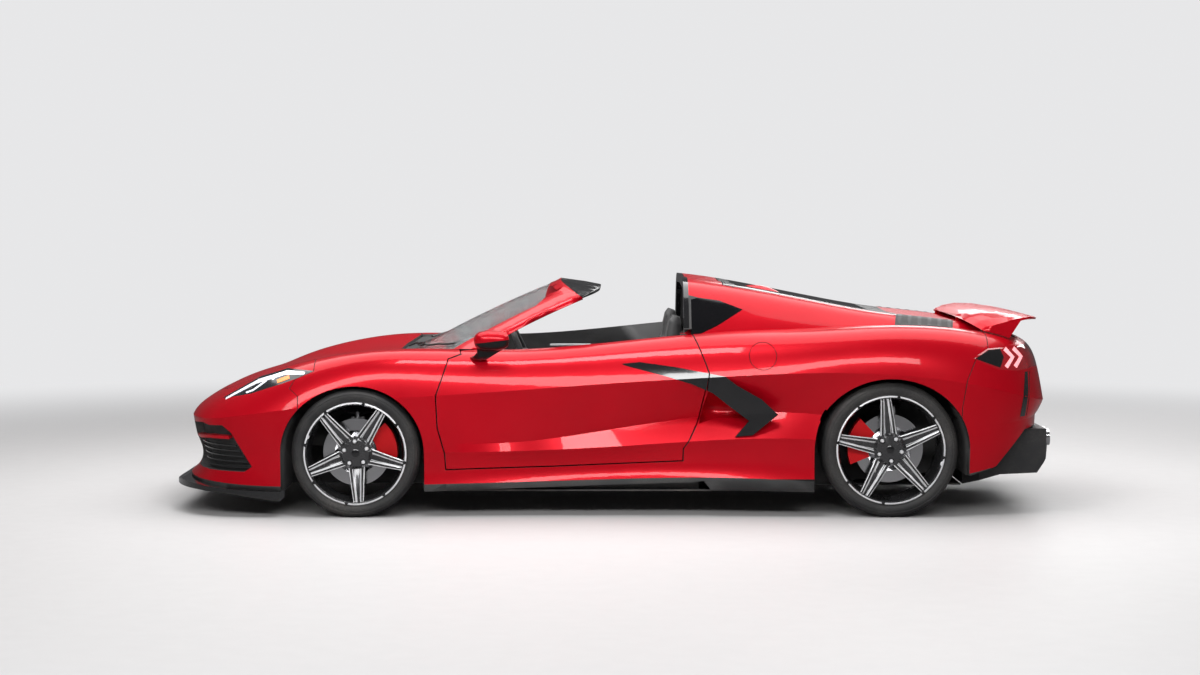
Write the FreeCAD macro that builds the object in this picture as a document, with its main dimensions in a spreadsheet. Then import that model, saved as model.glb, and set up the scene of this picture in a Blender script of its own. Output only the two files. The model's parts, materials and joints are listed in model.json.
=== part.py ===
import FreeCAD, Part
import math
import os
from FreeCAD import Placement, Rotation, Vector

# A mid-engined two-seat open car, parked on its wheels with its roof panel taken off.
# Millimetres. The nose points to -X, the car's left side is -Y, +Z is up, the ground is at z = 0.

doc = FreeCAD.newDocument("OpenCar")
sheet = doc.addObject("Spreadsheet::Sheet", "Sizes")

SIZES = [
    # Overall stance
    ("wheelbase", 2723),
    ("front_overhang", 985),
    ("rear_overhang", 922),
    ("body_half_width", 967),
    ("front_track", 1648),
    ("rear_track", 1586),
    ("floor_clearance", 128),
    # Tyres and wheels
    ("front_tyre_diameter", 654),
    ("front_tyre_width", 245),
    ("rear_tyre_diameter", 691),
    ("rear_tyre_width", 305),
    ("front_rim_radius", 257),
    ("rear_rim_radius", 272),
    ("rim_wall", 7),
    ("spoke_width", 16),
    ("spoke_spread", 17),
    ("hub_radius", 66),
    ("lug_circle_radius", 60),
    ("lug_bore_radius", 9),
    ("hub_bore_radius", 33),
    # Brakes
    ("front_disc_radius", 172),
    ("rear_disc_radius", 175),
    ("disc_thickness", 28),
    ("caliper_width", 92),
    # Wheel arches
    ("front_arch_radius", 343),
    ("rear_arch_radius", 364),
    ("front_well_radius", 372),
    ("rear_well_radius", 390),
    ("front_well_inner", 516),
    ("rear_well_inner", 600),
    # Doors
    ("door_gap", 6.5),
    ("door_inner_face", 752),
    ("sill_face", 826),
    ("sill_height", 402),
    ("door_axis_back", 100),
    ("door_axis_inset", 20),
    ("door_pin_radius", 5),
    ("pin_clearance", 0.3),
    # Lids
    ("lid_gap", 6.5),
    ("lid_pin_radius", 5),
    ("lid_pin_depth", 11),
    ("lid_thickness", 26),
    # Cabin
    ("cabin_floor", 176),
    ("tub_wall", 40),
    ("cabin_rear", 420),
    ("cabin_front", -990),
    ("tunnel_half_width", 130),
    ("tunnel_height", 392),
    # Panels
    ("seam_width", 4),
    ("seam_depth", 9),
    ("lamp_depth", 38),
    ("blade_thickness", 24),
    # Glass
    ("glass_thickness", 5),
    ("windscreen_rim", 30),
    # Steering
    ("steering_wheel_radius", 182),
    ("steering_rim_radius", 15),
    # Power unit
    ("engine_length", 640),
    ("engine_width", 620),
    ("engine_height", 560),
    ("gearbox_length", 560),
    ("gearbox_width", 400),
    ("gearbox_height", 256),
    ("exhaust_tip_radius", 44),
    ("exhaust_tip_wall", 4),
]
for line, (alias, value) in enumerate(SIZES, 1):
    sheet.set("A%d" % line, alias)
    sheet.set("B%d" % line, str(value))
    sheet.setAlias("B%d" % line, alias)
doc.recompute()


def size(alias):
    return float(sheet.get(alias))


WHEELBASE = size("wheelbase")
LENGTH = size("front_overhang") + WHEELBASE + size("rear_overhang")
FRONT_AXLE = size("front_overhang") - LENGTH / 2
REAR_AXLE = FRONT_AXLE + WHEELBASE
HALF_WIDTH = size("body_half_width")
FRONT_RADIUS = size("front_tyre_diameter") / 2
REAR_RADIUS = size("rear_tyre_diameter") / 2
NOSE = FRONT_AXLE - size("front_overhang") + 47
TAIL = REAR_AXLE + size("rear_overhang") - 25
FLOOR = size("floor_clearance")
BEYOND = 1200

nodes = {}


def keep(node, shape):
    # One sub-part: a document object that carries its own label and placement.
    feature = doc.addObject("Part::Feature", node)
    place = shape.Placement
    feature.Shape = shape
    feature.Label = node
    feature.Placement = place
    nodes[node] = feature
    return feature


def keep_object(node, feature):
    feature.Label = node
    nodes[node] = feature
    return feature


def mirrored(shape):
    return shape.mirror(Vector(0, 0, 0), Vector(0, 1, 0))


def both(shape):
    return Part.Compound([shape, mirrored(shape)])


def joined(half):
    # A piece that runs across the centre plane, made from its right half.
    return half.fuse(mirrored(half)).removeSplitter()


def polygon(points):
    return Part.Face(Part.makePolygon(points + [points[0]]))


def side_prism(outline, inner=0.0, outer=BEYOND):
    # An outline of (x, z) points seen from the side, carried across from inner to outer.
    face = polygon([Vector(x, inner, z) for x, z in outline])
    return face.extrude(Vector(0, outer - inner, 0))


def plan_prism(outline, bottom=0.0, top=1600.0):
    face = polygon([Vector(x, y, bottom) for x, y in outline])
    return face.extrude(Vector(0, 0, top - bottom))


def front_prism(outline, back, front):
    # An outline of (y, z) points seen from the front, carried along the car.
    face = polygon([Vector(back, y, z) for y, z in outline])
    return face.extrude(Vector(front - back, 0, 0))


def box(x0, x1, y0, y1, z0, z1):
    return Part.makeBox(x1 - x0, y1 - y0, z1 - z0, Vector(x0, y0, z0))


def grown_plan_prism(outline, amount, bottom=0.0, top=1600.0):
    face = polygon([Vector(x, y, bottom) for x, y in outline]).makeOffset2D(amount, join=2)
    return face.extrude(Vector(0, 0, top - bottom))


def cylinder_y(x, y0, y1, z, radius):
    return Part.makeCylinder(radius, y1 - y0, Vector(x, y0, z), Vector(0, 1, 0))


def rod(start, end, radius):
    span = end.sub(start)
    return Part.makeCylinder(radius, span.Length, start, span)


def largest(shape):
    return max(shape.Solids, key=lambda solid: solid.Volume)


# Body surface
# The skin is one net of poles that wraps the right half: columns run round the plan from the
# middle of the nose to the middle of the tail, rows rise from the sill to the centre line.
WIDTH_SCALE = HALF_WIDTH / 967.0
COLUMNS = [
    (NOSE, 0),
    (NOSE, 300),
    (NOSE + 43, 600),
    (NOSE + 188, 830),
    (FRONT_AXLE - 470, 925),
    (FRONT_AXLE, 955),
    (FRONT_AXLE + 380, 938),
    (FRONT_AXLE + 830, 918),
    (REAR_AXLE - 1393, 918),
    (REAR_AXLE - 893, 932),
    (REAR_AXLE - 443, 958),
    (REAR_AXLE, 972),
    (REAR_AXLE + 407, 965),
    (TAIL - 190, 900),
    (TAIL - 40, 640),
    (TAIL, 320),
    (TAIL, 0),
]
COLUMNS = [(x, y * WIDTH_SCALE) for x, y in COLUMNS]
SPINE_X = [
    FRONT_AXLE + 180,
    FRONT_AXLE + 200,
    FRONT_AXLE + 220,
    FRONT_AXLE + 240,
    FRONT_AXLE + 260,
    FRONT_AXLE + 290,
    FRONT_AXLE + 430,
    FRONT_AXLE + 830,
    REAR_AXLE - 1393,
    REAR_AXLE - 893,
    REAR_AXLE - 593,
    REAR_AXLE - 293,
    REAR_AXLE - 93,
    REAR_AXLE + 57,
    REAR_AXLE + 107,
    REAR_AXLE + 147,
    REAR_AXLE + 187,
]

# Each row: (column, inset from the plan line, height), straight in between.
SILL_LIP = [
    (0, -4, 182), (1, -4, 182), (2, 0, 180), (3, 12, 170), (4, 16, 152), (5, 22, 160), (7, 20, 178), (8, 18, 196),
    (9, 20, 208), (10, 22, 190), (11, 25, 165), (12, 22, 215), (13, 85, 290), (14, 95, 300), (16, 100, 305),
]
TUCK = [
    (0, 92, 252), (2, 84, 252), (3, 48, 250), (4, 15, 250), (5, 22, 250), (6, 34, 250), (7, 52, 262),
    (8, 58, 275), (9, 55, 290), (10, 40, 290), (11, 20, 260), (12, 15, 280), (13, 70, 350), (16, 90, 365),
]
CREST = [
    (0, 50, 340), (2, 45, 340), (3, 32, 335), (4, 10, 330), (5, 16, 330), (6, 14, 330), (7, 10, 336),
    (8, 8, 360), (9, 8, 400), (10, 12, 412), (11, 15, 370), (12, 10, 370), (13, 50, 430), (16, 75, 440),
]
VALLEY = [
    (0, 30, 390), (3, 22, 390), (4, 7, 390), (5, 10, 390), (6, 8, 380), (7, 22, 368), (8, 78, 448),
    (9, 128, 522), (10, 84, 545), (11, 10, 470), (12, 8, 450), (13, 34, 492), (14, 58, 498), (16, 62, 498),
]
FLANK = [
    (0, 18, 440), (3, 12, 440), (4, 4, 450), (5, 5, 480), (6, 5, 495), (7, 18, 520), (8, 44, 572),
    (9, 70, 618), (10, 50, 645), (11, 5, 590), (12, 3, 560), (13, 10, 530), (14, 32, 530), (16, 36, 530),
]
WAIST = [
    (0, 8, 485), (3, 8, 490), (4, 2, 535), (5, 0, 600), (6, 0, 620), (7, 0, 648), (8, 0, 688),
    (9, 0, 716), (10, 0, 744), (11, 0, 738), (12, 0, 690), (13, 4, 610), (14, 14, 572), (16, 22, 562),
]
SHOULDER = [
    (0, 20, 515), (2, 25, 522), (3, 55, 560), (4, 45, 655), (5, 6, 742), (6, 14, 738), (7, 22, 752),
    (8, 26, 792), (9, 30, 826), (10, 24, 855), (11, 4, 872), (12, 26, 838), (13, 46, 765), (14, 42, 735),
    (16, 50, 728),
]
CROWN = [
    (0, 75, 560), (2, 85, 580), (3, 150, 628), (4, 150, 752), (5, 58, 866), (6, 74, 862), (7, 76, 842),
    (8, 90, 894), (9, 112, 950), (10, 118, 952), (11, 104, 992), (12, 112, 972), (13, 118, 905), (14, 72, 880),
    (16, 74, 874),
]
INNER = [
    (0, 698), (2, 702), (3, 738), (4, 800), (5, 848), (6, 852), (7, 842), (8, 890), (9, 950), (10, 940),
    (11, 972), (12, 962), (13, 940), (14, 925), (16, 920),
]
MIDDLE = [
    (0, 764), (2, 766), (4, 790), (5, 802), (6, 808), (7, 820), (8, 870), (9, 940), (10, 940), (11, 950),
    (12, 955), (16, 955),
]
SPINE = [(0, 798), (5, 800), (7, 820), (8, 870), (9, 940), (12, 950), (16, 950)]
INNER_SHARE = 0.22
MIDDLE_SHARE = 0.62
NET_BOTTOM = 60.0


def along(knots, column, entry):
    for before, after in zip(knots, knots[1:]):
        if before[0] <= column <= after[0]:
            share = (column - before[0]) / (after[0] - before[0])
            return before[entry] * (1 - share) + after[entry] * share
    return knots[-1][entry]


def outward(column):
    if column == 0:
        return -1.0, 0.0
    if column == len(COLUMNS) - 1:
        return 1.0, 0.0
    x0, y0 = COLUMNS[column - 1]
    x1, y1 = COLUMNS[column + 1]
    length = math.hypot(x1 - x0, y1 - y0)
    return -(y1 - y0) / length, (x1 - x0) / length


def wrap_row(knots, inset, height=None):
    row = []
    for column, (x, y) in enumerate(COLUMNS):
        nx, ny = outward(column)
        depth = along(knots, column, 1) + inset
        z = along(knots, column, 2) if height is None else height
        row.append(Vector(x - nx * depth, max(y - ny * depth, 0), z))
    return row


def top_row(edge, share, knots, inset):
    row = []
    for column, pole in enumerate(edge):
        x = pole.x * (1 - share) + SPINE_X[column] * share
        row.append(Vector(x, pole.y * (1 - share), along(knots, column, 1) - inset))
    return row


def lowered(row, amount):
    return [Vector(pole.x, pole.y, pole.z - amount) for pole in row]


def net_surface(rows, across):
    # Poles run along the rows; the degree is three along them and as given across them.
    poles = [[row[i] for row in rows] for i in range(len(rows[0]))]
    surface = Part.BSplineSurface()

    def knots_of(count, degree):
        inner = count - degree - 1
        return list(range(inner + 2)), [degree + 1] + [1] * inner + [degree + 1]

    u_knots, u_mults = knots_of(len(poles), 3)
    v_knots, v_mults = knots_of(len(rows), across)
    surface.buildFromPolesMultsKnots(poles, u_mults, v_mults, u_knots, v_knots, False, False, 3, across)
    return surface


def closed_solid(faces):
    shell = Part.Compound(faces)
    shell.sewShape(0.02)
    solid = Part.Solid(shell.Shells[0] if shell.ShapeType != "Shell" else shell)
    if solid.Volume < 0:
        solid.reverse()
    return solid


def body_half(inset=0.0, scoop=1.0):
    # The right half of the body. A larger inset gives the core under the skin, and scoop = 0 fills
    # the hollow that runs along the door into the side intake.
    valley = [(c, 10 + (d - 10) * scoop if 7 < c < 11 else d, z) for c, d, z in VALLEY]
    flank = [(c, 4 + (d - 4) * scoop if 7 < c < 11 else d, z) for c, d, z in FLANK]
    bottom = wrap_row(SILL_LIP, inset + 4, NET_BOTTOM)
    lip = wrap_row(SILL_LIP, inset)
    tuck = wrap_row(TUCK, inset)
    crest = wrap_row(CREST, inset)
    valley = wrap_row(valley, inset)
    flank = wrap_row(flank, inset)
    waist = wrap_row(WAIST, inset)
    shoulder = lowered(wrap_row(SHOULDER, inset), inset * 0.3)
    crown = lowered(wrap_row(CROWN, inset * 0.7), inset)
    inner = top_row(crown, INNER_SHARE, INNER, inset)
    middle = top_row(crown, MIDDLE_SHARE, MIDDLE, inset)
    spine = top_row(crown, 1.0, SPINE, inset)
    strips = [
        net_surface([bottom, lip], 1),
        net_surface([lip, tuck, crest], 2),
        net_surface([crest, valley], 1),
        net_surface([valley, flank, waist], 2),
        net_surface([waist, shoulder, crown, inner, middle, spine], 3),
    ]
    last = float(len(COLUMNS) - 3)
    middle_edges = []
    for strip in strips:
        middle_edges.append(strip.uIso(0).toShape())
        middle_edges.append(strip.uIso(last).toShape())
    middle_edges.append(strips[-1].vIso(float(3)).toShape())
    keel = Part.makeLine(bottom[0], bottom[-1])
    middle_edges.append(keel)
    centre = Part.Face(Part.Wire(Part.__sortEdges__(middle_edges)))
    sole = Part.Face(Part.Wire(Part.__sortEdges__([strips[0].vIso(0).toShape(), keel])))
    return closed_solid([strip.toShape() for strip in strips] + [centre, sole])


# Rear greenhouse: the sections behind the seats, from the roof hoop down to the tail deck.
# Each: (x from the rear axle, poles from the shoulder up to the centre line).
HOOP_FRONT = REAR_AXLE - 1045
GREENHOUSE = [
    (-1045, [(800, 780), (775, 935), (672, 1085), (575, 1224), (300, 1208), (0, 1203)]),
    (-900, [(795, 780), (768, 930), (662, 1070), (566, 1209), (300, 1194), (0, 1189)]),
    (-640, [(775, 780), (742, 925), (640, 1045), (552, 1162), (300, 1147), (0, 1142)]),
    (-290, [(740, 780), (700, 915), (612, 1005), (535, 1090), (300, 1075), (0, 1070)]),
    (30, [(705, 780), (662, 905), (585, 975), (520, 1026), (300, 1012), (0, 1008)]),
    (330, [(670, 780), (630, 890), (562, 955), (505, 1000), (300, 990), (0, 987)]),
    (560, [(650, 780), (610, 870), (545, 925), (490, 962), (300, 962), (0, 961)]),
]


def greenhouse_half(inset=0.0):
    rows = []
    for level in range(6):
        row = []
        for x, poles in GREENHOUSE:
            y, z = poles[level]
            inward = inset if 0 < y else 0
            row.append(Vector(REAR_AXLE + x, (y - inward * 0.6) * WIDTH_SCALE, z - inset * (0 if level == 0 else 1)))
        rows.append(row)
    surface = net_surface(rows, 3)
    base_line = Part.makeLine(rows[0][0], Vector(rows[0][0].x, 0, rows[0][0].z))
    base_end = Part.makeLine(rows[0][-1], Vector(rows[0][-1].x, 0, rows[0][-1].z))
    front_up = Part.makeLine(Vector(rows[0][0].x, 0, rows[0][0].z), rows[-1][0])
    rear_up = Part.makeLine(Vector(rows[0][-1].x, 0, rows[0][-1].z), rows[-1][-1])
    keel = Part.makeLine(base_line.Vertexes[1].Point, base_end.Vertexes[1].Point)
    last = float(len(GREENHOUSE) - 3)
    front = Part.Face(Part.Wire(Part.__sortEdges__([surface.uIso(0).toShape(), base_line, front_up])))
    rear = Part.Face(Part.Wire(Part.__sortEdges__([surface.uIso(last).toShape(), base_end, rear_up])))
    sole = Part.Face(Part.Wire(Part.__sortEdges__([surface.vIso(0).toShape(), base_line, keel, base_end])))
    centre = Part.Face(Part.Wire(Part.__sortEdges__([surface.vIso(3.0).toShape(), front_up, keel, rear_up])))
    return closed_solid([surface.toShape(), front, rear, sole, centre])


body = body_half()
hull = body_half(0, 0)
hull_core = body_half(size("blade_thickness"), 0)
seam_core = body_half(size("seam_depth"))
lamp_core = body_half(size("lamp_depth"))
grille_face = body_half(46)
grille_back = body_half(58)
greenhouse = greenhouse_half()
shell = body.fuse(greenhouse)
core = lamp_core.fuse(greenhouse_half(size("lamp_depth")))


def below(shape, amount):
    moved = shape.copy()
    moved.translate(Vector(0, 0, -amount))
    return moved


# Door: its outline in the side view and the slanted shut faces
DOOR_OUTLINE = [
    (-782, 870), (-782, 825), (-850, 803), (-911, 643), (-919, 620), (-911, 461), (-873, 325), (-866, 246),
    (-300, 262), (338, 290), (338, 351), (411, 464), (431, 503), (466, 735), (411, 906), (404, 945),
    (0, 930), (-500, 880),
]
DOOR_FRONT = -919
DOOR_SHEAR = 0.13
DOOR_AXIS_X = DOOR_FRONT + size("door_axis_back")
DOOR_PLANE = 918


def door_prism(gap, inner):
    # Seen from above the shut faces lean forward towards the inside, so that the rear edge swings clear.
    face = polygon([Vector(x, 0, z) for x, z in DOOR_OUTLINE])
    if gap:
        face = face.makeOffset2D(gap, join=2)
    face.translate(Vector((inner - DOOR_PLANE) * DOOR_SHEAR, inner, 0))
    return face.extrude(Vector((BEYOND - inner) * DOOR_SHEAR, BEYOND - inner, 0))


# Side view of the intake blade, a swept boomerang, and of the intake mouth behind it
BLADE_OUTLINE = [
    (24, 782), (117, 791), (303, 766), (458, 737), (551, 720), (613, 673), (737, 603), (819, 526),
    (691, 421), (602, 413), (672, 494), (567, 572), (489, 634), (381, 681), (264, 716), (39, 774),
]
INTAKE_OUTLINE = [(420, 470), (500, 500), (650, 500), (672, 494), (567, 572), (489, 634), (470, 650), (440, 560)]

# Lids in plan view
HOOD_PLAN = [
    (-1192, 0), (-1166, 400), (-1110, 690), (-1120, 748), (-1370, 764), (-1540, 752), (-1700, 690),
    (-1850, 610), (-2030, 520), (-2105, 330), (-2122, 0),
]
COWL_PLAN = [(-1186, 0), (-1160, 400), (-1104, 690), (-985, 690), (-1020, 400), (-1060, 0)]
HATCH_FRONT = 562
HATCH_PLAN = [
    (HATCH_FRONT, 0), (HATCH_FRONT, 508), (1100, 476), (1440, 470), (1560, 640), (1905, 600), (1930, 0),
]
HATCH_GLASS_PLAN = [(HATCH_FRONT + 60, 0), (HATCH_FRONT + 60, 446), (1090, 420), (1330, 412), (1365, 0)]

# Lamps, side view; grilles, front view
HEADLAMP_OUTLINE = [
    (-2039, 592), (-1843, 703), (-1689, 752), (-1542, 745), (-1637, 704), (-1734, 670), (-1873, 625),
]
TAIL_LAMP_OUTLINE = [
    (1807, 811), (1893, 859), (2017, 863), (2145, 868), (2300, 868), (2300, 752), (2154, 754),
    (2049, 744), (1950, 753), (1848, 795),
]
TAIL_LAMP_INNER = 430
CORNER_INTAKE = [(430, 262), (462, 452), (700, 468), (845, 440), (868, 400), (820, 227), (470, 227)]
CORNER_SIDE = [(-2183, 453), (-2022, 462), (-1975, 427), (-1863, 253), (-1905, 226), (-2240, 226), (-2240, 453)]
CENTRE_INTAKE = [(0, 240), (0, 436), (318, 432), (366, 400), (330, 244)]

UNDERSIDE = [
    (-2400, 0), (-2400, 174), (-2262, 171), (-2150, 162), (-1987, 143), (-1712, 132), (-960, 132), (117, 170),
    (381, 178), (443, 186), (480, 140), (1000, 130), (1803, 213), (1937, 256), (2100, 440), (2400, 462),
    (2400, 0),
]


def arch_opening(axle, wheel_radius, top, front, rear, inner):
    # The opening in the skin, taller ahead of and behind the wheel than above it, with a flared lip.
    points = []
    steps = 24
    for step in range(steps + 1):
        angle = math.pi * step / steps
        reach = front if angle > math.pi / 2 else rear
        radius = 1 / math.hypot(math.cos(angle) / reach, math.sin(angle) / top)
        points.append(Vector(axle + radius * math.cos(angle), inner, wheel_radius + radius * math.sin(angle)))
    curve = Part.BSplineCurve()
    curve.interpolate(points)
    low_front = Vector(points[-1].x, inner, 0)
    low_rear = Vector(points[0].x, inner, 0)
    edges = [curve.toShape(), Part.makeLine(points[-1], low_front), Part.makeLine(low_front, low_rear)]
    edges.append(Part.makeLine(low_rear, points[0]))
    return Part.Face(Part.Wire(edges)).extrude(Vector(0, BEYOND - inner, 0))


front_well = cylinder_y(FRONT_AXLE, size("front_well_inner"), 905, FRONT_RADIUS, size("front_well_radius"))
front_well = front_well.fuse(
    box(
        FRONT_AXLE - size("front_well_radius"), FRONT_AXLE + size("front_well_radius"),
        size("front_well_inner"), 905, 0, FRONT_RADIUS,
    )
)
front_well = front_well.fuse(
    arch_opening(FRONT_AXLE, FRONT_RADIUS, size("front_arch_radius"), 384, 350, 880)
)
rear_well = cylinder_y(REAR_AXLE, size("rear_well_inner"), 905, REAR_RADIUS, size("rear_well_radius"))
rear_well = rear_well.fuse(
    box(
        REAR_AXLE - size("rear_well_radius"), REAR_AXLE + size("rear_well_radius"),
        size("rear_well_inner"), 905, 0, REAR_RADIUS,
    )
)
rear_well = rear_well.fuse(arch_opening(REAR_AXLE, REAR_RADIUS, size("rear_arch_radius"), 388, 403, 880))

CABIN_FRONT = size("cabin_front")
CABIN_REAR = size("cabin_rear")
CABIN_FLOOR = size("cabin_floor")
cabin = side_prism(
    [
        (CABIN_FRONT, FLOOR), (CABIN_FRONT, 700), (-905, 762), (-800, 1300), (330, 1300), (330, 900),
        (CABIN_REAR, 880), (CABIN_REAR, FLOOR),
    ],
    0, size("door_inner_face"),
)
hoop_opening = front_prism([(0, 870), (0, 1168), (455, 1156), (528, 1112), (640, 870)], 330, 600)
engine_bay = box(CABIN_REAR + 60, 1640, 0, 565, 0, 930)
engine_bay = engine_bay.fuse(box(CABIN_REAR + 60, 980, 0, 700, 0, 780))
engine_bay = engine_bay.fuse(box(1600, 1800, 0, size("gearbox_width") / 2 + 30, 0, 472))
engine_bay = engine_bay.fuse(core.common(box(CABIN_REAR + 8, 1640, 0, 470, 880, 1300)))
rear_trunk = box(1668, 2090, 0, 560, 480, 945)
front_trunk = box(-2030, -1290, 0, 470, 0, 700)

lid_gap = size("lid_gap")
lid_under = below(shell, size("lid_thickness"))
lid_seat = below(shell, size("lid_thickness") + lid_gap)
hood_prism = plan_prism(HOOD_PLAN, 300)
hood_gap = grown_plan_prism(HOOD_PLAN + [(-2122, -60), (-1192, -60)], lid_gap, 300).cut(lid_seat)
hatch_prism = plan_prism(HATCH_PLAN, 700)
hatch_gap = grown_plan_prism(HATCH_PLAN + [(1930, -60), (HATCH_FRONT, -60)], lid_gap, 700).cut(lid_seat)


def top_of(shape, x, y):
    # Height of the skin above one point of the plan.
    line = Part.makeLine(Vector(x, y, 300), Vector(x, y, 1500))
    return shape.common(line).BoundBox.ZMax


# Each lid turns on two stub pins that stand in from the wings just under the skin; the strip beyond
# the pins dips as the lid opens, into a pocket.
HOOD_AXIS_X = -1152
HATCH_AXIS_X = HATCH_FRONT + 48
LID_DIP = 44
HOOD_AXIS_Z = top_of(shell, HOOD_AXIS_X, 725) - size("lid_pin_depth")
HATCH_AXIS_Z = top_of(shell, HATCH_AXIS_X, 480) - size("lid_pin_depth")
lid_deep = below(shell, size("lid_thickness") + lid_gap + LID_DIP)
hood_dip = grown_plan_prism(HOOD_PLAN + [(-2122, -60), (-1192, -60)], lid_gap, 300)
hood_dip = hood_dip.common(box(HOOD_AXIS_X - 12, -1000, -60, 900, 300, 1500)).cut(lid_deep)
hatch_dip = grown_plan_prism(HATCH_PLAN + [(1930, -60), (HATCH_FRONT, -60)], lid_gap, 700)
hatch_dip = hatch_dip.common(box(500, HATCH_AXIS_X + 12, -60, 900, 700, 1500)).cut(lid_deep)
cowl_prism = plan_prism(COWL_PLAN, 400)
cowl_panel = cowl_prism.common(below(body, 14)).cut([below(body, 40), hood_dip])

headlamp_prism = side_prism(HEADLAMP_OUTLINE, 400)
tail_lamp_prism = side_prism(TAIL_LAMP_OUTLINE, TAIL_LAMP_INNER)
lamp_skin = body.cut(lamp_core)
headlamp = largest(lamp_skin.common(headlamp_prism).cut(hood_gap))
tail_lamp = largest(lamp_skin.common(tail_lamp_prism).cut(hatch_gap))

front_intakes = front_prism(CORNER_INTAKE, -2400, -2050).fuse(front_prism(CENTRE_INTAKE, -2400, -2000))
front_intakes = front_intakes.fuse(side_prism(CORNER_SIDE, 690))
grilles = grille_face.cut(grille_back).common(front_intakes)
blade = hull.cut(hull_core).common(side_prism(BLADE_OUTLINE, 700))
door_space = door_prism(size("door_gap"), 700)

fixed = shell.cut(
    [
        door_space, cabin, hoop_opening, engine_bay, rear_trunk, front_trunk, front_well, rear_well,
        hood_gap, hatch_gap, hood_dip, hatch_dip, cowl_prism.cut(below(body, 40)), side_prism(UNDERSIDE), headlamp, tail_lamp,
        front_intakes.cut(grille_back), blade,
        side_prism(INTAKE_OUTLINE, 760),
    ]
)


def seam(points, inner=0.0):
    half = size("seam_width") / 2
    outline = [(x + half, z) for x, z in points] + [(x - half, z) for x, z in reversed(points)]
    return side_prism(outline, inner).cut(seam_core)


BUMPER_LINE = [(-1545, 1000), (-1545, 742), (-1640, 702), (-1667, 656), (-1622, 617), (-1622, 0)]
TAIL_LINE = [(1900, 1200), (1893, 850), (1826, 812), (1776, 700), (1752, 560), (1752, 0)]
SKIRT_TOP = [(-870, 246), (-300, 258), (338, 286), (1020, 300)]
VENT_LINES = [[(2100, 735), (2075, 509)], [(2126, 735), (2101, 509)]]
fixed = fixed.cut([seam(BUMPER_LINE), seam(TAIL_LINE)] + [seam(line, 500) for line in VENT_LINES])
bumper_cell = side_prism([(-2500, 0), (-2500, 1200)] + BUMPER_LINE)
tail_cell = side_prism(TAIL_LINE + [(2500, 0), (2500, 1200)])
skirt_cell = side_prism([(-870, 0)] + SKIRT_TOP + [(1020, 0)], 600)
fender_cell = side_prism([(-870, 0), (-870, 300), (-600, 1300), (-2000, 1300), (-2000, 0)])

front_bumper = fixed.common(bumper_cell)
rear_bumper = fixed.common(tail_cell)
middle_body = fixed.cut([bumper_cell, tail_cell, skirt_cell])
skirt = fixed.common(skirt_cell)
fender = middle_body.common(fender_cell)
quarter = middle_body.cut(fender_cell)



def lid_pin(x, z, y0, y1, clearance):
    return cylinder_y(x, y0 - 2 * clearance, y1, z, size("lid_pin_radius") + clearance)


HOOD_PIN = (702, 790)
HATCH_PIN = (452, 530)
fender = fender.fuse(lid_pin(HOOD_AXIS_X, HOOD_AXIS_Z, HOOD_PIN[0], HOOD_PIN[1], 0))
quarter = quarter.fuse(lid_pin(HATCH_AXIS_X, HATCH_AXIS_Z, HATCH_PIN[0], HATCH_PIN[1], 0))
keep("front_bumper", joined(largest(front_bumper)))
# Flat recess for the registration plate, with its two screw holes
PLATE_SEAT_X = 2208
PLATE_HOLE_SPACING = 178
PLATE_LEVEL = 575
rear_bumper = rear_bumper.cut(box(PLATE_SEAT_X, 2400, 0, 268, PLATE_LEVEL - 84, PLATE_LEVEL + 84))
rear_bumper = rear_bumper.cut(
    Part.makeCylinder(3, 40, Vector(PLATE_SEAT_X - 18, PLATE_HOLE_SPACING / 2, PLATE_LEVEL), Vector(1, 0, 0))
)
keep("rear_bumper", joined(largest(rear_bumper)))
keep("front_fenders", both(largest(fender)))
keep("right_quarter", largest(quarter))
keep("left_quarter", mirrored(largest(quarter)))
keep("side_skirts", both(largest(skirt)))
keep("headlamps", both(headlamp))
keep("tail_lamps", both(tail_lamp))
keep("cowl_panel", joined(largest(cowl_panel)))
corner_grille = max(grilles.Solids, key=lambda solid: solid.CenterOfMass.y)
centre_grille = min(grilles.Solids, key=lambda solid: solid.CenterOfMass.y)
keep("front_grilles", Part.Compound([joined(centre_grille), corner_grille, mirrored(corner_grille)]))

# Doors, each as thick as the whole real door, with a thinner foot that clears the sill
door_plane_cut = plan_prism(
    [(-1050, 0), (-1050, 836), (-815, 806), (-720, size("door_inner_face")), (600, size("door_inner_face")), (600, 0)]
)
sill_clear = box(-1050, 600, 0, size("sill_face") + 8, 0, size("sill_height") + 8)
door = largest(body.common(door_prism(0, 700)).cut([door_plane_cut, sill_clear, blade, greenhouse]))
DOOR_AXIS_Y = 936 * WIDTH_SCALE - size("door_axis_inset") - 12
HINGE_LEVELS = [490, 650]
HINGE_ARM = 30
HINGE_WIDTH = 16
PIN_LENGTH = 84
pin_radius = size("door_pin_radius")


def hinge_pocket(level):
    # Room in the door for the fixed hinge arm, open towards the shut face and the inner face.
    reach = 260
    half = HINGE_WIDTH / 2 + 6
    outline = [
        (DOOR_AXIS_X + half, DOOR_AXIS_Y + 10.5), (DOOR_AXIS_X + half, DOOR_AXIS_Y - reach),
        (DOOR_AXIS_X - reach, DOOR_AXIS_Y - reach), (DOOR_AXIS_X - reach, DOOR_AXIS_Y - 0.30 * reach),
        (DOOR_AXIS_X - 12, DOOR_AXIS_Y + 10.5),
    ]
    return plan_prism(outline, level - HINGE_ARM / 2 - 6, level + HINGE_ARM / 2 + 6)


def pin(level, clearance):
    return Part.makeCylinder(
        pin_radius + clearance, PIN_LENGTH + 4 * clearance,
        Vector(DOOR_AXIS_X, DOOR_AXIS_Y, level - PIN_LENGTH / 2 - 2 * clearance),
    )


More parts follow.
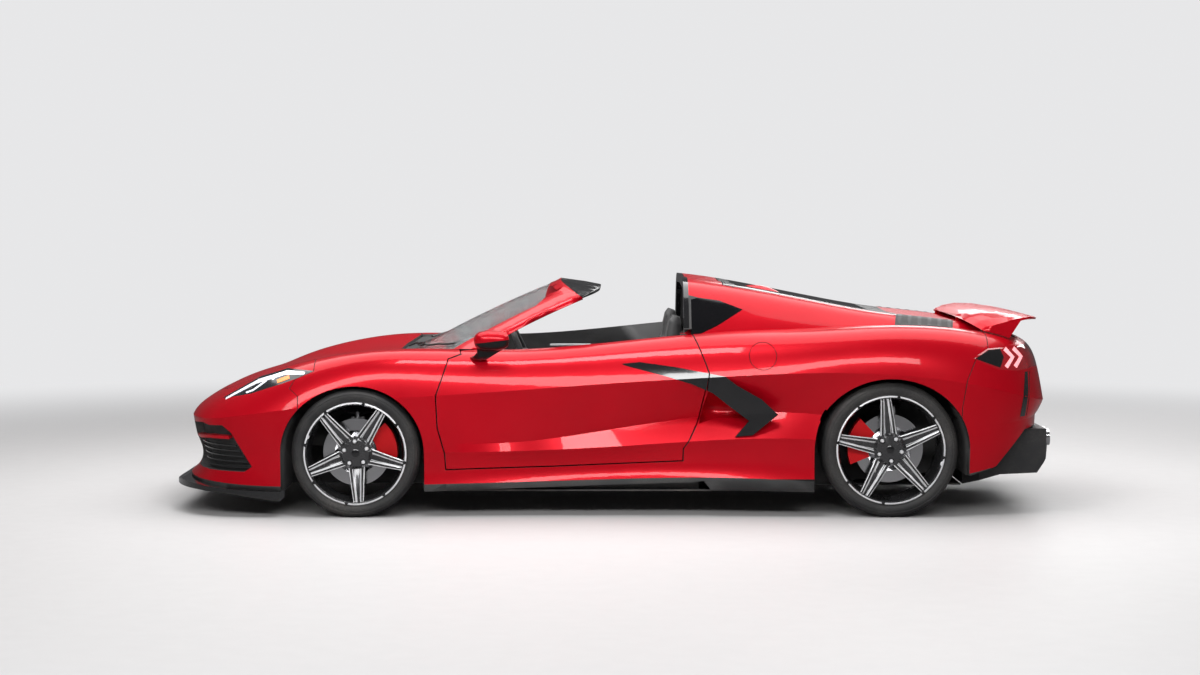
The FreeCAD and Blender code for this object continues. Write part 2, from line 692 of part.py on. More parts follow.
door = door.cut([hinge_pocket(level) for level in HINGE_LEVELS])
door = largest(door.cut([pin(level, size("pin_clearance")) for level in HINGE_LEVELS]))
door_blade = largest(blade.common(door_prism(0, 700)))
quarter_blade = largest(blade.cut(door_prism(size("door_gap"), 600)))
keep("right_door", door)
keep("left_door", mirrored(door))
keep("right_door_blade", door_blade)
keep("left_door_blade", mirrored(door_blade))
keep("side_blades", both(quarter_blade))

# Hood and hatch, skins of one thickness that follow the body below them
lid_skin = shell.cut(lid_under)
clearance = size("pin_clearance")
hood_half = largest(lid_skin.common(hood_prism))
hood_half = hood_half.cut(lid_pin(HOOD_AXIS_X, HOOD_AXIS_Z, HOOD_PIN[0], HOOD_PIN[1], clearance))
hood = joined(hood_half)
hatch_half = largest(lid_skin.common(hatch_prism))
hatch_half = hatch_half.cut(lid_pin(HATCH_AXIS_X, HATCH_AXIS_Z, HATCH_PIN[0], HATCH_PIN[1], clearance))
glass_half = plan_prism(HATCH_GLASS_PLAN, 900)
hatch_glass = joined(largest(hatch_half.common(glass_half).cut(below(shell, size("glass_thickness") + 1))))
hatch_frame = joined(largest(hatch_half.cut(glass_half)))

# Door mirrors on a short stalk
MIRROR_SECTIONS = [
    (846, -712, 806, 44, 12), (900, -690, 816, 38, 13), (926, -668, 836, 40, 20), (944, -640, 876, 70, 30),
    (958, -634, 900, 88, 46), (990, -632, 907, 90, 50), (1022, -626, 908, 84, 46), (1040, -620, 908, 66, 34),
]


def rounded_section(y, x, z, half_length, half_height, power=0.72):
    points = []
    steps = 14
    for step in range(steps):
        angle = 2 * math.pi * step / steps
        across = math.copysign(abs(math.cos(angle)) ** power, math.cos(angle))
        up = math.copysign(abs(math.sin(angle)) ** power, math.sin(angle))
        points.append(Vector(x + half_length * across, y, z + half_height * up))
    return Part.makePolygon(points + [points[0]])


mirror_housing = Part.makeLoft([rounded_section(*section) for section in MIRROR_SECTIONS], True, True)
mirror_housing = largest(mirror_housing.cut(door))
keep("right_mirror", mirror_housing)
keep("left_mirror", mirrored(mirror_housing))

# Windscreen: one curved sheet, thick enough for the pillars, with the glass let into it
SCREEN_NORMAL = Vector(0.44, 0, -0.90)
SCREEN_BASE = (-1168, 768)
SCREEN_TOP = (-300, 1190)
PILLAR_FOOT = (-800, 742, 818)
PILLAR_HEAD = (-186, 566, 1124)


def screen_sheet(shift):
    poles = []
    for level, bulge in [(0.0, 0), (0.33, 26), (0.67, 26), (1.0, 0)]:
        centre_x = SCREEN_BASE[0] + (SCREEN_TOP[0] - SCREEN_BASE[0]) * level - 0.4 * bulge
        centre_z = SCREEN_BASE[1] + (SCREEN_TOP[1] - SCREEN_BASE[1]) * level + 0.9 * bulge
        side_x = PILLAR_FOOT[0] + (PILLAR_HEAD[0] - PILLAR_FOOT[0]) * level - 0.3 * bulge
        side_y = PILLAR_FOOT[1] + (PILLAR_HEAD[1] - PILLAR_FOOT[1]) * level
        side_z = PILLAR_FOOT[2] + (PILLAR_HEAD[2] - PILLAR_FOOT[2]) * level + 0.6 * bulge
        line = []
        for share, bend in [(-1.0, 1.0), (-0.82, 0.42), (-0.35, 0.0), (0.35, 0.0), (0.82, 0.42), (1.0, 1.0)]:
            line.append(
                Vector(
                    centre_x + (side_x - centre_x) * bend, side_y * share, centre_z + (side_z - centre_z) * bend
                ).add(SCREEN_NORMAL.multiply(1.0) * shift)
            )
        poles.append(line)
    surface = Part.BSplineSurface()
    surface.buildFromPolesMultsKnots(poles, [4, 4], [4, 1, 1, 4], [0, 1], [0, 1, 2, 3], False, False, 3, 3)
    return surface.toShape()


screen_body = screen_sheet(0).extrude(SCREEN_NORMAL * size("windscreen_rim"))
SCREEN_HOLE = [
    Vector(-1400, -640, 0), Vector(-860, -640, 0), Vector(-420, -535, 0), Vector(-372, -470, 0), Vector(-352, 0, 0),
    Vector(-372, 470, 0), Vector(-420, 535, 0), Vector(-860, 640, 0), Vector(-1400, 640, 0),
]
screen_hole = polygon(SCREEN_HOLE).extrude(Vector(0, 0, 1500))
screen_frame = screen_body.cut(screen_hole)
screen_glass = screen_sheet(3).extrude(SCREEN_NORMAL * size("glass_thickness")).common(screen_hole)
HEADER_MIDDLE = [(-352, 1160), (-300, 1188), (-170, 1170), (-80, 1152), (-86, 1132), (-240, 1130)]
HEADER_END = [(-236, 1092), (-214, 1110), (-196, 1120), (-174, 1119), (-178, 1102), (-215, 1088)]


def header_section(y, share):
    points = []
    for (middle_x, middle_z), (end_x, end_z) in zip(HEADER_MIDDLE, HEADER_END):
        points.append(Vector(middle_x + (end_x - middle_x) * share, y, middle_z + (end_z - middle_z) * share))
    return Part.makePolygon(points + [points[0]])


HEADER_STATIONS = [(-564, 1.0), (-500, 0.62), (-430, 0.33), (-300, 0.08), (-160, 0), (0, 0)]
HEADER_STATIONS = HEADER_STATIONS + [(-y, share) for y, share in reversed(HEADER_STATIONS[:-1])]
header = Part.makeLoft([header_section(*station) for station in HEADER_STATIONS], True, True)
whole_body_top = shell.fuse(mirrored(shell))
screen_frame = screen_frame.fuse(header)
screen_frame = largest(screen_frame.cut([whole_body_top, nodes["cowl_panel"].Shape]))
screen_glass = largest(screen_glass.cut([header, whole_body_top, nodes["cowl_panel"].Shape]))
keep("windscreen_frame", screen_frame)
keep("windscreen", screen_glass)

# Quarter windows let into the sides of the greenhouse
QUARTER_WINDOW = [(386, 1100), (425, 1110), (533, 1094), (655, 1048), (518, 966), (430, 926), (386, 926)]
window_prism = side_prism(QUARTER_WINDOW, 480)
quarter_window = largest(greenhouse.cut(greenhouse_half(8)).common(window_prism))
right_quarter = largest(nodes["right_quarter"].Shape.cut(quarter_window))
nodes["right_quarter"].Shape = right_quarter
nodes["left_quarter"].Shape = mirrored(right_quarter)
keep("quarter_windows", both(quarter_window))

# Black seal round the front face of the roof hoop
hoop_seal = right_quarter.common(box(HOOP_FRONT - 2, HOOP_FRONT + 26, 0, 760, 955, 1300))
right_quarter = largest(right_quarter.cut(hoop_seal))
nodes["right_quarter"].Shape = right_quarter
nodes["left_quarter"].Shape = mirrored(right_quarter)
keep("hoop_seal", joined(largest(hoop_seal)))

# Round filler flap in the left quarter only
FLAP = (743, 822, 69)
flap_ring = cylinder_y(FLAP[0], 700, 1000, FLAP[1], FLAP[2] + 1.5)
flap_ring = flap_ring.cut(cylinder_y(FLAP[0], 699, 1001, FLAP[1], FLAP[2] - 1.5)).cut(seam_core)
nodes["left_quarter"].Shape = largest(nodes["left_quarter"].Shape.cut(mirrored(flap_ring)))

# Floor pan with sills, tunnel, bulkheads and the rails that carry both axles
tub_wall = size("tub_wall")
sill_outer = size("sill_face")
tub = box(CABIN_FRONT, CABIN_REAR, 0, sill_outer, FLOOR + 8, CABIN_FLOOR)
tub = tub.fuse(box(-860, -765, 640, sill_outer - 41, CABIN_FLOOR, size("sill_height")))
tub = tub.fuse(box(-765, 330, 640, sill_outer, CABIN_FLOOR, size("sill_height")))
tub = tub.fuse(box(CABIN_FRONT, CABIN_REAR, 0, size("tunnel_half_width"), CABIN_FLOOR, size("tunnel_height")))
tub = tub.fuse(box(CABIN_FRONT, CABIN_FRONT + tub_wall, 0, 690, CABIN_FLOOR, 690))
tub = tub.fuse(box(CABIN_REAR, CABIN_REAR + 59, 0, 690, FLOOR + 8, 879))
tub = tub.fuse(box(-2060, CABIN_FRONT, 380, 455, 190, 262))
tub = tub.fuse(box(-2100, -2060, 0, 470, 190, 300))
tub = tub.fuse(box(CABIN_REAR + 59, 2110, 360, 440, 190, 262))
tub = tub.fuse(box(2110, 2150, 0, 500, 190, 300))
for level in HINGE_LEVELS:
    arm = box(
        DOOR_AXIS_X - HINGE_WIDTH / 2, DOOR_AXIS_X + HINGE_WIDTH / 2, 660, DOOR_AXIS_Y,
        level - HINGE_ARM / 2, level + HINGE_ARM / 2,
    )
    boss = Part.makeCylinder(HINGE_WIDTH / 2, HINGE_ARM, Vector(DOOR_AXIS_X, DOOR_AXIS_Y, level - HINGE_ARM / 2))
    tub = tub.fuse(arm).fuse(boss).fuse(pin(level, 0))
tub = tub.fuse(box(CABIN_FRONT, -790, 640, 690, CABIN_FLOOR, 700))
chassis = joined(tub)

# Flat undertray from the splitter to the diffuser
TRAY_PLAN = [
    (-2150, 0), (-2110, 500), (-1990, 740), (-1760, 820), (-1720, 500), (-940, 500), (-940, 860), (990, 860),
    (990, 590), (1800, 590), (1800, 0),
]
undertray = joined(plan_prism(TRAY_PLAN, FLOOR, FLOOR + 8))

# Front splitter under the nose and the short air dams in front of the wheels
SPLITTER_EDGE = [(-2315, 0), (-2315, 330), (-2268, 640), (-2110, 862), (-1900, 938), (-1712, 945)]
SPLITTER_SIDE = [
    (-2315, 140), (-2315, 153), (-2262, 171), (-2150, 162), (-1987, 143), (-1712, 132), (-1697, 84),
    (-1740, 86), (-1987, 122), (-2150, 134), (-2250, 138),
]
edge_curve = Part.BSplineCurve()
edge_curve.interpolate([Vector(x, y, 40) for x, y in SPLITTER_EDGE])
edge_lines = [
    Part.makeLine(Vector(-1712, 945, 40), Vector(-1712, 760, 40)),
    Part.makeLine(Vector(-1712, 760, 40), Vector(-1900, 700, 40)),
    Part.makeLine(Vector(-1900, 700, 40), Vector(-2120, 420, 40)),
    Part.makeLine(Vector(-2120, 420, 40), Vector(-2152, 0, 40)),
    Part.makeLine(Vector(-2152, 0, 40), Vector(-2315, 0, 40)),
]
splitter_plan = Part.Face(Part.Wire(Part.__sortEdges__([edge_curve.toShape()] + edge_lines)))
splitter = largest(splitter_plan.extrude(Vector(0, 0, 220)).common(side_prism(SPLITTER_SIDE)))
keep("front_splitter", joined(splitter))

# Rear diffuser with its fins and the exhaust pipes that pass over it
DIFFUSER_SIDE = [
    (1801, 140), (1988, 194), (2181, 203), (2217, 257), (2274, 386), (2264, 412), (2226, 432), (2110, 436),
    (1945, 262), (1860, 228), (1801, 200),
]
DIFFUSER_PLAN = [(1800, 0), (1800, 640), (1880, 690), (2226, 690), (2248, 600), (2268, 300), (2275, 0)]
diffuser = side_prism(DIFFUSER_SIDE, 0, 690).common(plan_prism(DIFFUSER_PLAN, 100, 600))
DIFFUSER_CHANNEL = [(1850, 100), (2330, 100), (2330, 300), (2140, 300), (1950, 222), (1850, 170)]
CHANNEL_WIDTH = 92
FIN_PITCH = 118
for lane in range(5):
    start = FIN_PITCH * (lane + 0.5) - CHANNEL_WIDTH / 2
    diffuser = diffuser.cut(side_prism(DIFFUSER_CHANNEL, start, start + CHANNEL_WIDTH))
EXHAUST_LEVEL = 372
TIP_PLACES = [505, 612]
tip_radius = size("exhaust_tip_radius")


def rear_pipe(y, radius, start, end):
    rise = 0.06
    foot = Vector(start, y, EXHAUST_LEVEL + rise * (start - 2060))
    return Part.makeCylinder(radius, end - start, foot, Vector(1, 0, rise))


for place in TIP_PLACES:
    diffuser = diffuser.cut(rear_pipe(place, tip_radius, 2000, 2400))
diffuser = diffuser.cut(nodes["rear_bumper"].Shape)
keep("rear_diffuser", joined(largest(diffuser)))

rear_now = nodes["rear_bumper"].Shape
tips = []
for place in TIP_PLACES:
    for side in (1, -1):
        tube = rear_pipe(side * place, tip_radius, 2060, 2254)
        tips.append(tube.cut(rear_pipe(side * place, tip_radius - size("exhaust_tip_wall"), 2100, 2400)))
for tip in tips:
    rear_now = rear_now.cut(tip)
nodes["rear_bumper"].Shape = largest(rear_now)
keep("exhaust_tips", Part.Compound(tips))

# Luggage tubs under the hood and behind the engine
def open_tub(x0, x1, half, bottom, top, wall):
    outer = box(x0, x1, -half, half, bottom, top)
    return outer.cut(box(x0 + wall, x1 - wall, -half + wall, half - wall, bottom + wall, top + 50))


keep("front_luggage_tub", open_tub(-1975, -1400, 379.7, 262, 590, 6))
keep("rear_luggage_tub", open_tub(1680, 2085, 540, 480, 840, 6))

# Cabin: dashboard, console and seats
DASH_PROFILE = [
    (CABIN_FRONT + tub_wall, 560), (CABIN_FRONT + tub_wall, 700), (-900, 752), (-770, 800), (-690, 800),
    (-650, 762), (-664, 668), (-740, 575),
]
dash = side_prism(DASH_PROFILE, 0, 686)
keep("dashboard", joined(dash))
CONSOLE_PROFILE = [
    (-700, size("tunnel_height")), (-700, 660), (-664, 668), (-560, 640), (-300, 566), (60, 520), (330, 536),
    (CABIN_REAR, 560), (CABIN_REAR, size("tunnel_height")),
]
keep("centre_console", joined(side_prism(CONSOLE_PROFILE, 0, 118)))

SEAT_CENTRE = 386
SEAT_PROFILE = [
    (-420, CABIN_FLOOR), (-440, 318), (-420, 362), (-330, 378), (-60, 330), (40, 330), (110, 420), (255, 830),
    (270, 985), (292, 1020), (340, 1018), (362, 960), (352, 850), (300, 640), (210, 330), (150, CABIN_FLOOR),
]
seat_core = side_prism(SEAT_PROFILE, SEAT_CENTRE - 200, SEAT_CENTRE + 200)
SEAT_FRONT = [
    (SEAT_CENTRE - 215, 0), (SEAT_CENTRE - 235, 700), (SEAT_CENTRE - 190, 800), (SEAT_CENTRE - 118, 850),
    (SEAT_CENTRE - 100, 1000), (SEAT_CENTRE - 60, 1040), (SEAT_CENTRE + 60, 1040), (SEAT_CENTRE + 100, 1000),
    (SEAT_CENTRE + 118, 850), (SEAT_CENTRE + 190, 800), (SEAT_CENTRE + 235, 700), (SEAT_CENTRE + 215, 0),
]
seat = side_prism(SEAT_PROFILE, SEAT_CENTRE - 240, SEAT_CENTRE + 240).common(front_prism(SEAT_FRONT, -600, 600))
keep("seats", both(seat))

# Steering wheel, with its column in the dashboard
WHEEL_CENTRE = Vector(-478, -SEAT_CENTRE, 782)
COLUMN_TILT = 24
column_axis = Vector(math.cos(math.radians(COLUMN_TILT)), 0, math.sin(math.radians(COLUMN_TILT)))
rim_radius = size("steering_wheel_radius")
steering = Part.makeTorus(rim_radius, size("steering_rim_radius"), Vector(0, 0, 0), Vector(0, 0, 1))
steering = steering.fuse(Part.makeCylinder(62, 34, Vector(0, 0, -38), Vector(0, 0, 1)))
for angle in (0, 180, 262, 278):
    spoke = Part.makeBox(rim_radius - 30, 34, 12, Vector(30, -17, -18))
    spoke.rotate(Vector(0, 0, 0), Vector(0, 0, 1), angle)
    steering = steering.fuse(spoke)
steering = steering.fuse(Part.makeCylinder(20, 120, Vector(0, 0, -150), Vector(0, 0, 1)))
steering.rotate(Vector(0, 0, 0), Vector(0, 1, 0), 90 - COLUMN_TILT)
steering.translate(WHEEL_CENTRE)
keep("steering_wheel", steering)
column_start = WHEEL_CENTRE.sub(column_axis * 150.3)
column = rod(column_start, column_start.sub(column_axis * 160), 34)
dash_shape = nodes["dashboard"].Shape
nodes["dashboard"].Shape = largest(dash_shape.fuse(column).cut([nodes["centre_console"].Shape, chassis]))

# Power unit: one plain block for the engine and one for the gearbox, set low behind the seats
engine_block = doc.addObject("Part::Box", "EngineCase")
engine_block.setExpression("Length", "Sizes.engine_length")
engine_block.setExpression("Width", "Sizes.engine_width")
engine_block.setExpression("Height", "Sizes.engine_height")
engine_block.Placement = Placement(Vector(CABIN_REAR + 140, -size("engine_width") / 2, FLOOR + 60), Rotation())
gearbox = doc.addObject("Part::Box", "GearboxCase")
gearbox.setExpression("Length", "Sizes.gearbox_length")
gearbox.setExpression("Width", "Sizes.gearbox_width")
gearbox.setExpression("Height", "Sizes.gearbox_height")
gearbox.Placement = Placement(
    Vector(CABIN_REAR + 140 + size("engine_length"), -size("gearbox_width") / 2, FLOOR + 80), Rotation()
)
power_unit = doc.addObject("Part::Fuse", "PowerUnit")
power_unit.Base = engine_block
power_unit.Tool = gearbox
keep_object("engine_block", power_unit)

# Suspension: cross members on the rails, two arms a side, and the rear uprights with their shafts
KINGPIN = size("front_track") / 2 - 34
UPRIGHT_INNER = KINGPIN - 46
UPRIGHT_OUTER = KINGPIN - 6
HUB_FACE = 866
DISC_INNER = 812
STUB_RADIUS = 30


def arm_pair(axle, inner, outer, level, spread, radius):
    tip = Vector(axle, outer, level)
    arms = rod(Vector(axle - spread, inner, level), tip, radius)
    arms = arms.fuse(rod(Vector(axle + spread, inner, level), tip, radius))
    return arms.fuse(Part.makeSphere(radius, tip))


def cross_member(axle, level, height, reach):
    return box(axle - 60, axle + 60, 0, reach, level, level + height)


front_half = cross_member(FRONT_AXLE, 262, 60, 440)
front_half = front_half.fuse(box(FRONT_AXLE - 170, FRONT_AXLE + 170, 400, 440, 262, 560))
LOWER_BALL = 178
UPPER_BALL = 524
for level in (LOWER_BALL, UPPER_BALL):
    front_half = front_half.fuse(arm_pair(FRONT_AXLE, 420, KINGPIN, level, 130, 13))
front_half = front_half.fuse(box(FRONT_AXLE - 170, FRONT_AXLE - 110, 400, 440, 160, 270))
front_half = front_half.fuse(box(FRONT_AXLE + 110, FRONT_AXLE + 170, 400, 440, 160, 270))
ball_top = 199.7
ball_under = 502.3
front_half = front_half.fuse(Part.makeCylinder(13, ball_top - LOWER_BALL, Vector(FRONT_AXLE, KINGPIN, LOWER_BALL)))
front_half = front_half.fuse(
    Part.makeCylinder(13, UPPER_BALL - ball_under, Vector(FRONT_AXLE, KINGPIN, ball_under))
)
front_half = front_half.cut(box(-2100, 0, 300, 500, 190, 262).common(tub))
keep("front_suspension", joined(largest(front_half)))

rear_half = cross_member(REAR_AXLE, 262, 50, 470)
rear_half = rear_half.cut(box(REAR_AXLE - 61, REAR_AXLE + 61, 0, 204, 200, 330))
rear_half = rear_half.fuse(box(REAR_AXLE - 170, REAR_AXLE + 170, 440, 480, 160, 580))
for level in (LOWER_BALL, UPPER_BALL + 22):
    rear_half = rear_half.fuse(arm_pair(REAR_AXLE, 470, 772, level, 130, 14))
rear_half = rear_half.fuse(box(REAR_AXLE - 36, REAR_AXLE + 36, 752, 796, LOWER_BALL - 10, UPPER_BALL + 32))
rear_half = rear_half.fuse(cylinder_y(REAR_AXLE, 200.5, 800, REAR_RADIUS, 26))
rear_half = rear_half.fuse(cylinder_y(REAR_AXLE, 752, DISC_INNER - 6, REAR_RADIUS, 58))
rear_half = rear_half.fuse(cylinder_y(REAR_AXLE, 752, HUB_FACE + 20, REAR_RADIUS, STUB_RADIUS))
keep("rear_suspension", both(largest(rear_half.cut(tub))))


def knuckle():
    upright = box(FRONT_AXLE - 34, FRONT_AXLE + 34, UPRIGHT_INNER, UPRIGHT_OUTER, 200, 502)
    for bottom, top in ((200, 226), (476, 502)):
        upright = upright.fuse(Part.makeCylinder(16, top - bottom, Vector(FRONT_AXLE, KINGPIN, bottom)))
        upright = upright.fuse(box(FRONT_AXLE - 16, FRONT_AXLE + 16, UPRIGHT_OUTER - 2, KINGPIN, bottom, top))
    upright = upright.fuse(cylinder_y(FRONT_AXLE, UPRIGHT_INNER, DISC_INNER - 6, FRONT_RADIUS, 56))
    upright = upright.fuse(cylinder_y(FRONT_AXLE, UPRIGHT_INNER, HUB_FACE + 20, FRONT_RADIUS, STUB_RADIUS))
    arm = rod(Vector(FRONT_AXLE, UPRIGHT_INNER + 20, 290), Vector(FRONT_AXLE + 130, UPRIGHT_INNER + 6, 290), 13)
    return upright.fuse(arm)


front_knuckle = knuckle()
keep("right_front_knuckle", front_knuckle)
keep("left_front_knuckle", mirrored(front_knuckle))


def caliper(axle, level, disc_radius, middle_angle):
    # A block that straddles the disc over part of its rim, with a slot for the disc.
    half = 34
    outer_radius = disc_radius + 38
    inner_radius = disc_radius - 66
    width = size("caliper_width")
    y0 = DISC_INNER + size("disc_thickness") / 2 - width / 2
    ring = cylinder_y(axle, y0, y0 + width - 6, level, outer_radius)
    ring = ring.cut(cylinder_y(axle, y0 - 1, y0 + width, level, inner_radius))
    rays = [(2 * outer_radius, math.radians(middle_angle + turn)) for turn in (-half, 0, half)]
    wedge = [(axle, level)] + [(axle + reach * math.cos(a), level + reach * math.sin(a)) for reach, a in rays]
    piece = largest(ring.common(side_prism(wedge)))
    slot = cylinder_y(axle, DISC_INNER - 5, DISC_INNER + size("disc_thickness") + 5, level, disc_radius + 6)
    piece = largest(piece.cut(slot))
    return piece


def caliper_mount(axle, level, disc_radius, angle, inner_y, outer_y):
    # A lug that joins the upright to the inner face of the caliper.
    lug = box(axle + 30, axle + disc_radius - 20, inner_y, outer_y, level - 45, level + 45)
    lug.rotate(Vector(axle, 0, level), Vector(0, 1, 0), -angle)
    return lug


CALIPER_INNER = DISC_INNER + size("disc_thickness") / 2 - size("caliper_width") / 2
front_caliper = caliper(FRONT_AXLE, FRONT_RADIUS, size("front_disc_radius"), 12)
rear_caliper = caliper(REAR_AXLE, REAR_RADIUS, size("rear_disc_radius"), 168)
front_lug = caliper_mount(FRONT_AXLE, FRONT_RADIUS, size("front_disc_radius"), 12, UPRIGHT_INNER + 8, CALIPER_INNER)
rear_lug = caliper_mount(REAR_AXLE, REAR_RADIUS, size("rear_disc_radius"), 168, 756, CALIPER_INNER)
front_knuckle = front_knuckle.fuse(front_lug)
nodes["right_front_knuckle"].Shape = front_knuckle
nodes["left_front_knuckle"].Shape = mirrored(front_knuckle)
nodes["rear_suspension"].Shape = both(largest(rear_half.cut(tub).fuse(rear_lug)))
keep("right_front_caliper", front_caliper)
keep("left_front_caliper", mirrored(front_caliper))
keep("rear_calipers", both(rear_caliper))

# Road wheels
RIM_FACE = 6


def ring_profile(points, axle, level, inner_face):
    # A closed (radius, distance from the inner face) outline turned about the axle.
    wire = Part.makePolygon([Vector(axle, inner_face + out, level + radius) for radius, out in points + [points[0]]])
    return Part.Face(wire).revolve(Vector(axle, 0, level), Vector(0, 1, 0), 360)


def tyre(axle, level, track, width, rim):
    inner = track / 2 - width / 2
    radius = level
    wall = radius - rim
    points = [
        (rim + 0.2, width * 0.105), (rim + wall * 0.50, 0.0), (radius - 12, width * 0.05), (radius, width * 0.18),
        (radius, width * 0.82), (radius - 12, width * 0.95), (rim + wall * 0.50, width), (rim + 0.2, width * 0.895),
    ]
    return ring_profile(points, axle, level, inner)


def wheel_rim(axle, level, track, width, rim, turn):
    inner = track / 2 - width / 2
    outer = inner + width
    face = outer - RIM_FACE
    wall = size("rim_wall")
    barrel = ring_profile(
        [
            (rim + 5, width * 0.05), (rim + 5, width * 0.064), (rim, width * 0.10), (rim - 2, width * 0.30),
            (rim - 18, width * 0.45), (rim - 18, width * 0.60), (rim - 2, width * 0.75), (rim, width * 0.90),
            (rim + 5, width * 0.936), (rim + 5, width * 0.975), (rim - 3, width * 0.985), (rim - 10, width * 0.95),
            (rim - 10, width * 0.76), (rim - 18 - wall, width * 0.60), (rim - 18 - wall, width * 0.45),
            (rim - 2 - wall, width * 0.28), (rim - 2 - wall, width * 0.05),
        ], axle, level, inner,
    )
    # The spokes lie between two cones, so that they dish in towards the hub.
    envelope = ring_profile(
        [
            (0, HUB_FACE - inner), (0, HUB_FACE + 44 - inner), (66, HUB_FACE + 44 - inner), (84, HUB_FACE + 36 - inner),
            (rim * 0.62, face - 14 - inner), (rim - 22, face - 4 - inner), (rim - 9, face - 6 - inner),
            (rim - 9, face - 42 - inner), (rim * 0.66, face - 46 - inner), (96, HUB_FACE + 4 - inner), (84, HUB_FACE - inner),
        ], axle, level, inner,
    )
    half = size("spoke_width") / 2
    spread = size("spoke_spread")
    arms = cylinder_y(axle, HUB_FACE - 40, outer, level, size("hub_radius") + 4)
    webs = []
    for spoke in range(5):
        for side in (-1, 1):
            root = side * (spread + 16)
            tip = side * spread
            outline = [
                Vector(root - half - 3, 0, 40), Vector(tip - half, 0, rim + 2),
                Vector(tip + half, 0, rim + 2), Vector(root + half + 3, 0, 40),
            ]
            arm = polygon(outline).extrude(Vector(0, 400, 0))
            arm.rotate(Vector(0, 0, 0), Vector(0, 1, 0), 72 * spoke + turn)
            arm.translate(Vector(axle, HUB_FACE - 100, level))
            arms = arms.fuse(arm)
        web = box(-spread, spread, 0, 400, 60, rim + 2)
        web.rotate(Vector(0, 0, 0), Vector(0, 1, 0), 72 * spoke + turn)
        web.translate(Vector(axle, HUB_FACE - 100, level))
        webs.append(web)
    recessed = envelope.copy()
    recessed.translate(Vector(0, -14, 0))
    spokes = arms.common(envelope).fuse([web.common(envelope).common(recessed) for web in webs])
    wheel = spokes.fuse(barrel)
    wheel = wheel.cut(cylinder_y(axle, HUB_FACE - 10, HUB_FACE + 30, level, STUB_RADIUS + 0.3))
    for lug in range(5):
        angle = math.radians(72 * lug + turn + 36)
        lug_x = axle + size("lug_circle_radius") * math.sin(angle)
        lug_z = level + size("lug_circle_radius") * math.cos(angle)
        wheel = wheel.cut(cylinder_y(lug_x, HUB_FACE + 14, outer, lug_z, size("lug_bore_radius") + 5))
        wheel = wheel.fuse(cylinder_y(lug_x, HUB_FACE + 12, HUB_FACE + 34, lug_z, size("lug_bore_radius")))
    return largest(wheel)


def brake_disc(axle, level, radius):
    thickness = size("disc_thickness")
    disc = ring_profile(
        [
            (STUB_RADIUS + 0.3, HUB_FACE - 8 - DISC_INNER), (84, HUB_FACE - 8 - DISC_INNER), (84, 6 + thickness / 2),
            (radius - 60, thickness), (radius, thickness), (radius, thickness * 0.64), (radius - 40, thickness * 0.64),
            (radius - 40, thickness * 0.36), (radius, thickness * 0.36), (radius, 0), (100, 0),
            (90, 0), (76, 6), (76, HUB_FACE - 16 - DISC_INNER), (STUB_RADIUS + 0.3, HUB_FACE - 16 - DISC_INNER),
        ], axle, level, DISC_INNER,
    )
    return disc.fuse(
        cylinder_y(axle, HUB_FACE - 9, HUB_FACE, level, 72).cut(
            cylinder_y(axle, HUB_FACE - 10, HUB_FACE + 1, level, STUB_RADIUS + 0.3)
        )
    )


WHEELS = [
    ("front", FRONT_AXLE, FRONT_RADIUS, size("front_track"), size("front_tyre_width"), size("front_rim_radius"),
     size("front_disc_radius"), 176),
    ("rear", REAR_AXLE, REAR_RADIUS, size("rear_track"), size("rear_tyre_width"), size("rear_rim_radius"),
     size("rear_disc_radius"), 354),
]
for end, axle, level, track, width, rim, disc_radius, turn in WHEELS:
    right_parts = {
        "tyre": tyre(axle, level, track, width, rim),
        "rim": wheel_rim(axle, level, track, width, rim, turn),
        "disc": brake_disc(axle, level, disc_radius),
    }
    right_parts["tyre"] = right_parts["tyre"].cut(right_parts["rim"])
    for kind, shape in right_parts.items():
        keep("right_%s_%s" % (end, kind), shape)
        keep("left_%s_%s" % (end, kind), mirrored(shape))

# Tail spoiler on the hatch: a wing with end plates that run down to the deck
SPOILER_MIDDLE = [
    (1785, 1006), (1830, 1030), (1900, 1043), (2000, 1040), (2100, 1023), (2212, 1000), (2208, 990), (2100, 1006),
    (1990, 1020), (1900, 1020), (1830, 1010),
]
SPOILER_END = [
    (1888, 944), (1915, 958), (1950, 970), (2000, 984), (2060, 1001), (2134, 1013), (2130, 1004), (2060, 984),
    (2000, 967), (1950, 953), (1915, 942),
]
SPOILER_STATIONS = [(0, 0), (380, 0.04), (560, 0.25), (650, 0.6), (704, 1)]


def spoiler_section(y, share):
    points = []
    for (middle_x, middle_z), (end_x, end_z) in zip(SPOILER_MIDDLE, SPOILER_END):
        points.append(Vector(middle_x + (end_x - middle_x) * share, y, middle_z + (end_z - middle_z) * share))
    return Part.makePolygon(points + [points[0]])


wing = Part.makeLoft([spoiler_section(*station) for station in SPOILER_STATIONS], True, True)
END_PLATE = [(1888, 946), (1892, 934), (2023, 894), (2092, 1000), (2130, 1008), (2060, 990), (2000, 975)]
plate = side_prism(END_PLATE, 690, 704)
leg = side_prism([(1792, 920), (1800, 1010), (1850, 1026), (1890, 1024), (1900, 920)], 380, 404)
spoiler = wing.fuse(leg).fuse(plate)
keep("hood", hood)
spoiler = joined(largest(spoiler.cut([hatch_frame, lid_under])))
fixed_top = below(body, -size("lid_gap")).cut(hatch_prism)
spoiler = spoiler.cut([fixed_top, mirrored(fixed_top)])
keep("rear_spoiler", largest(spoiler))
keep("hatch_frame", hatch_frame)
keep("hatch_glass", hatch_glass)

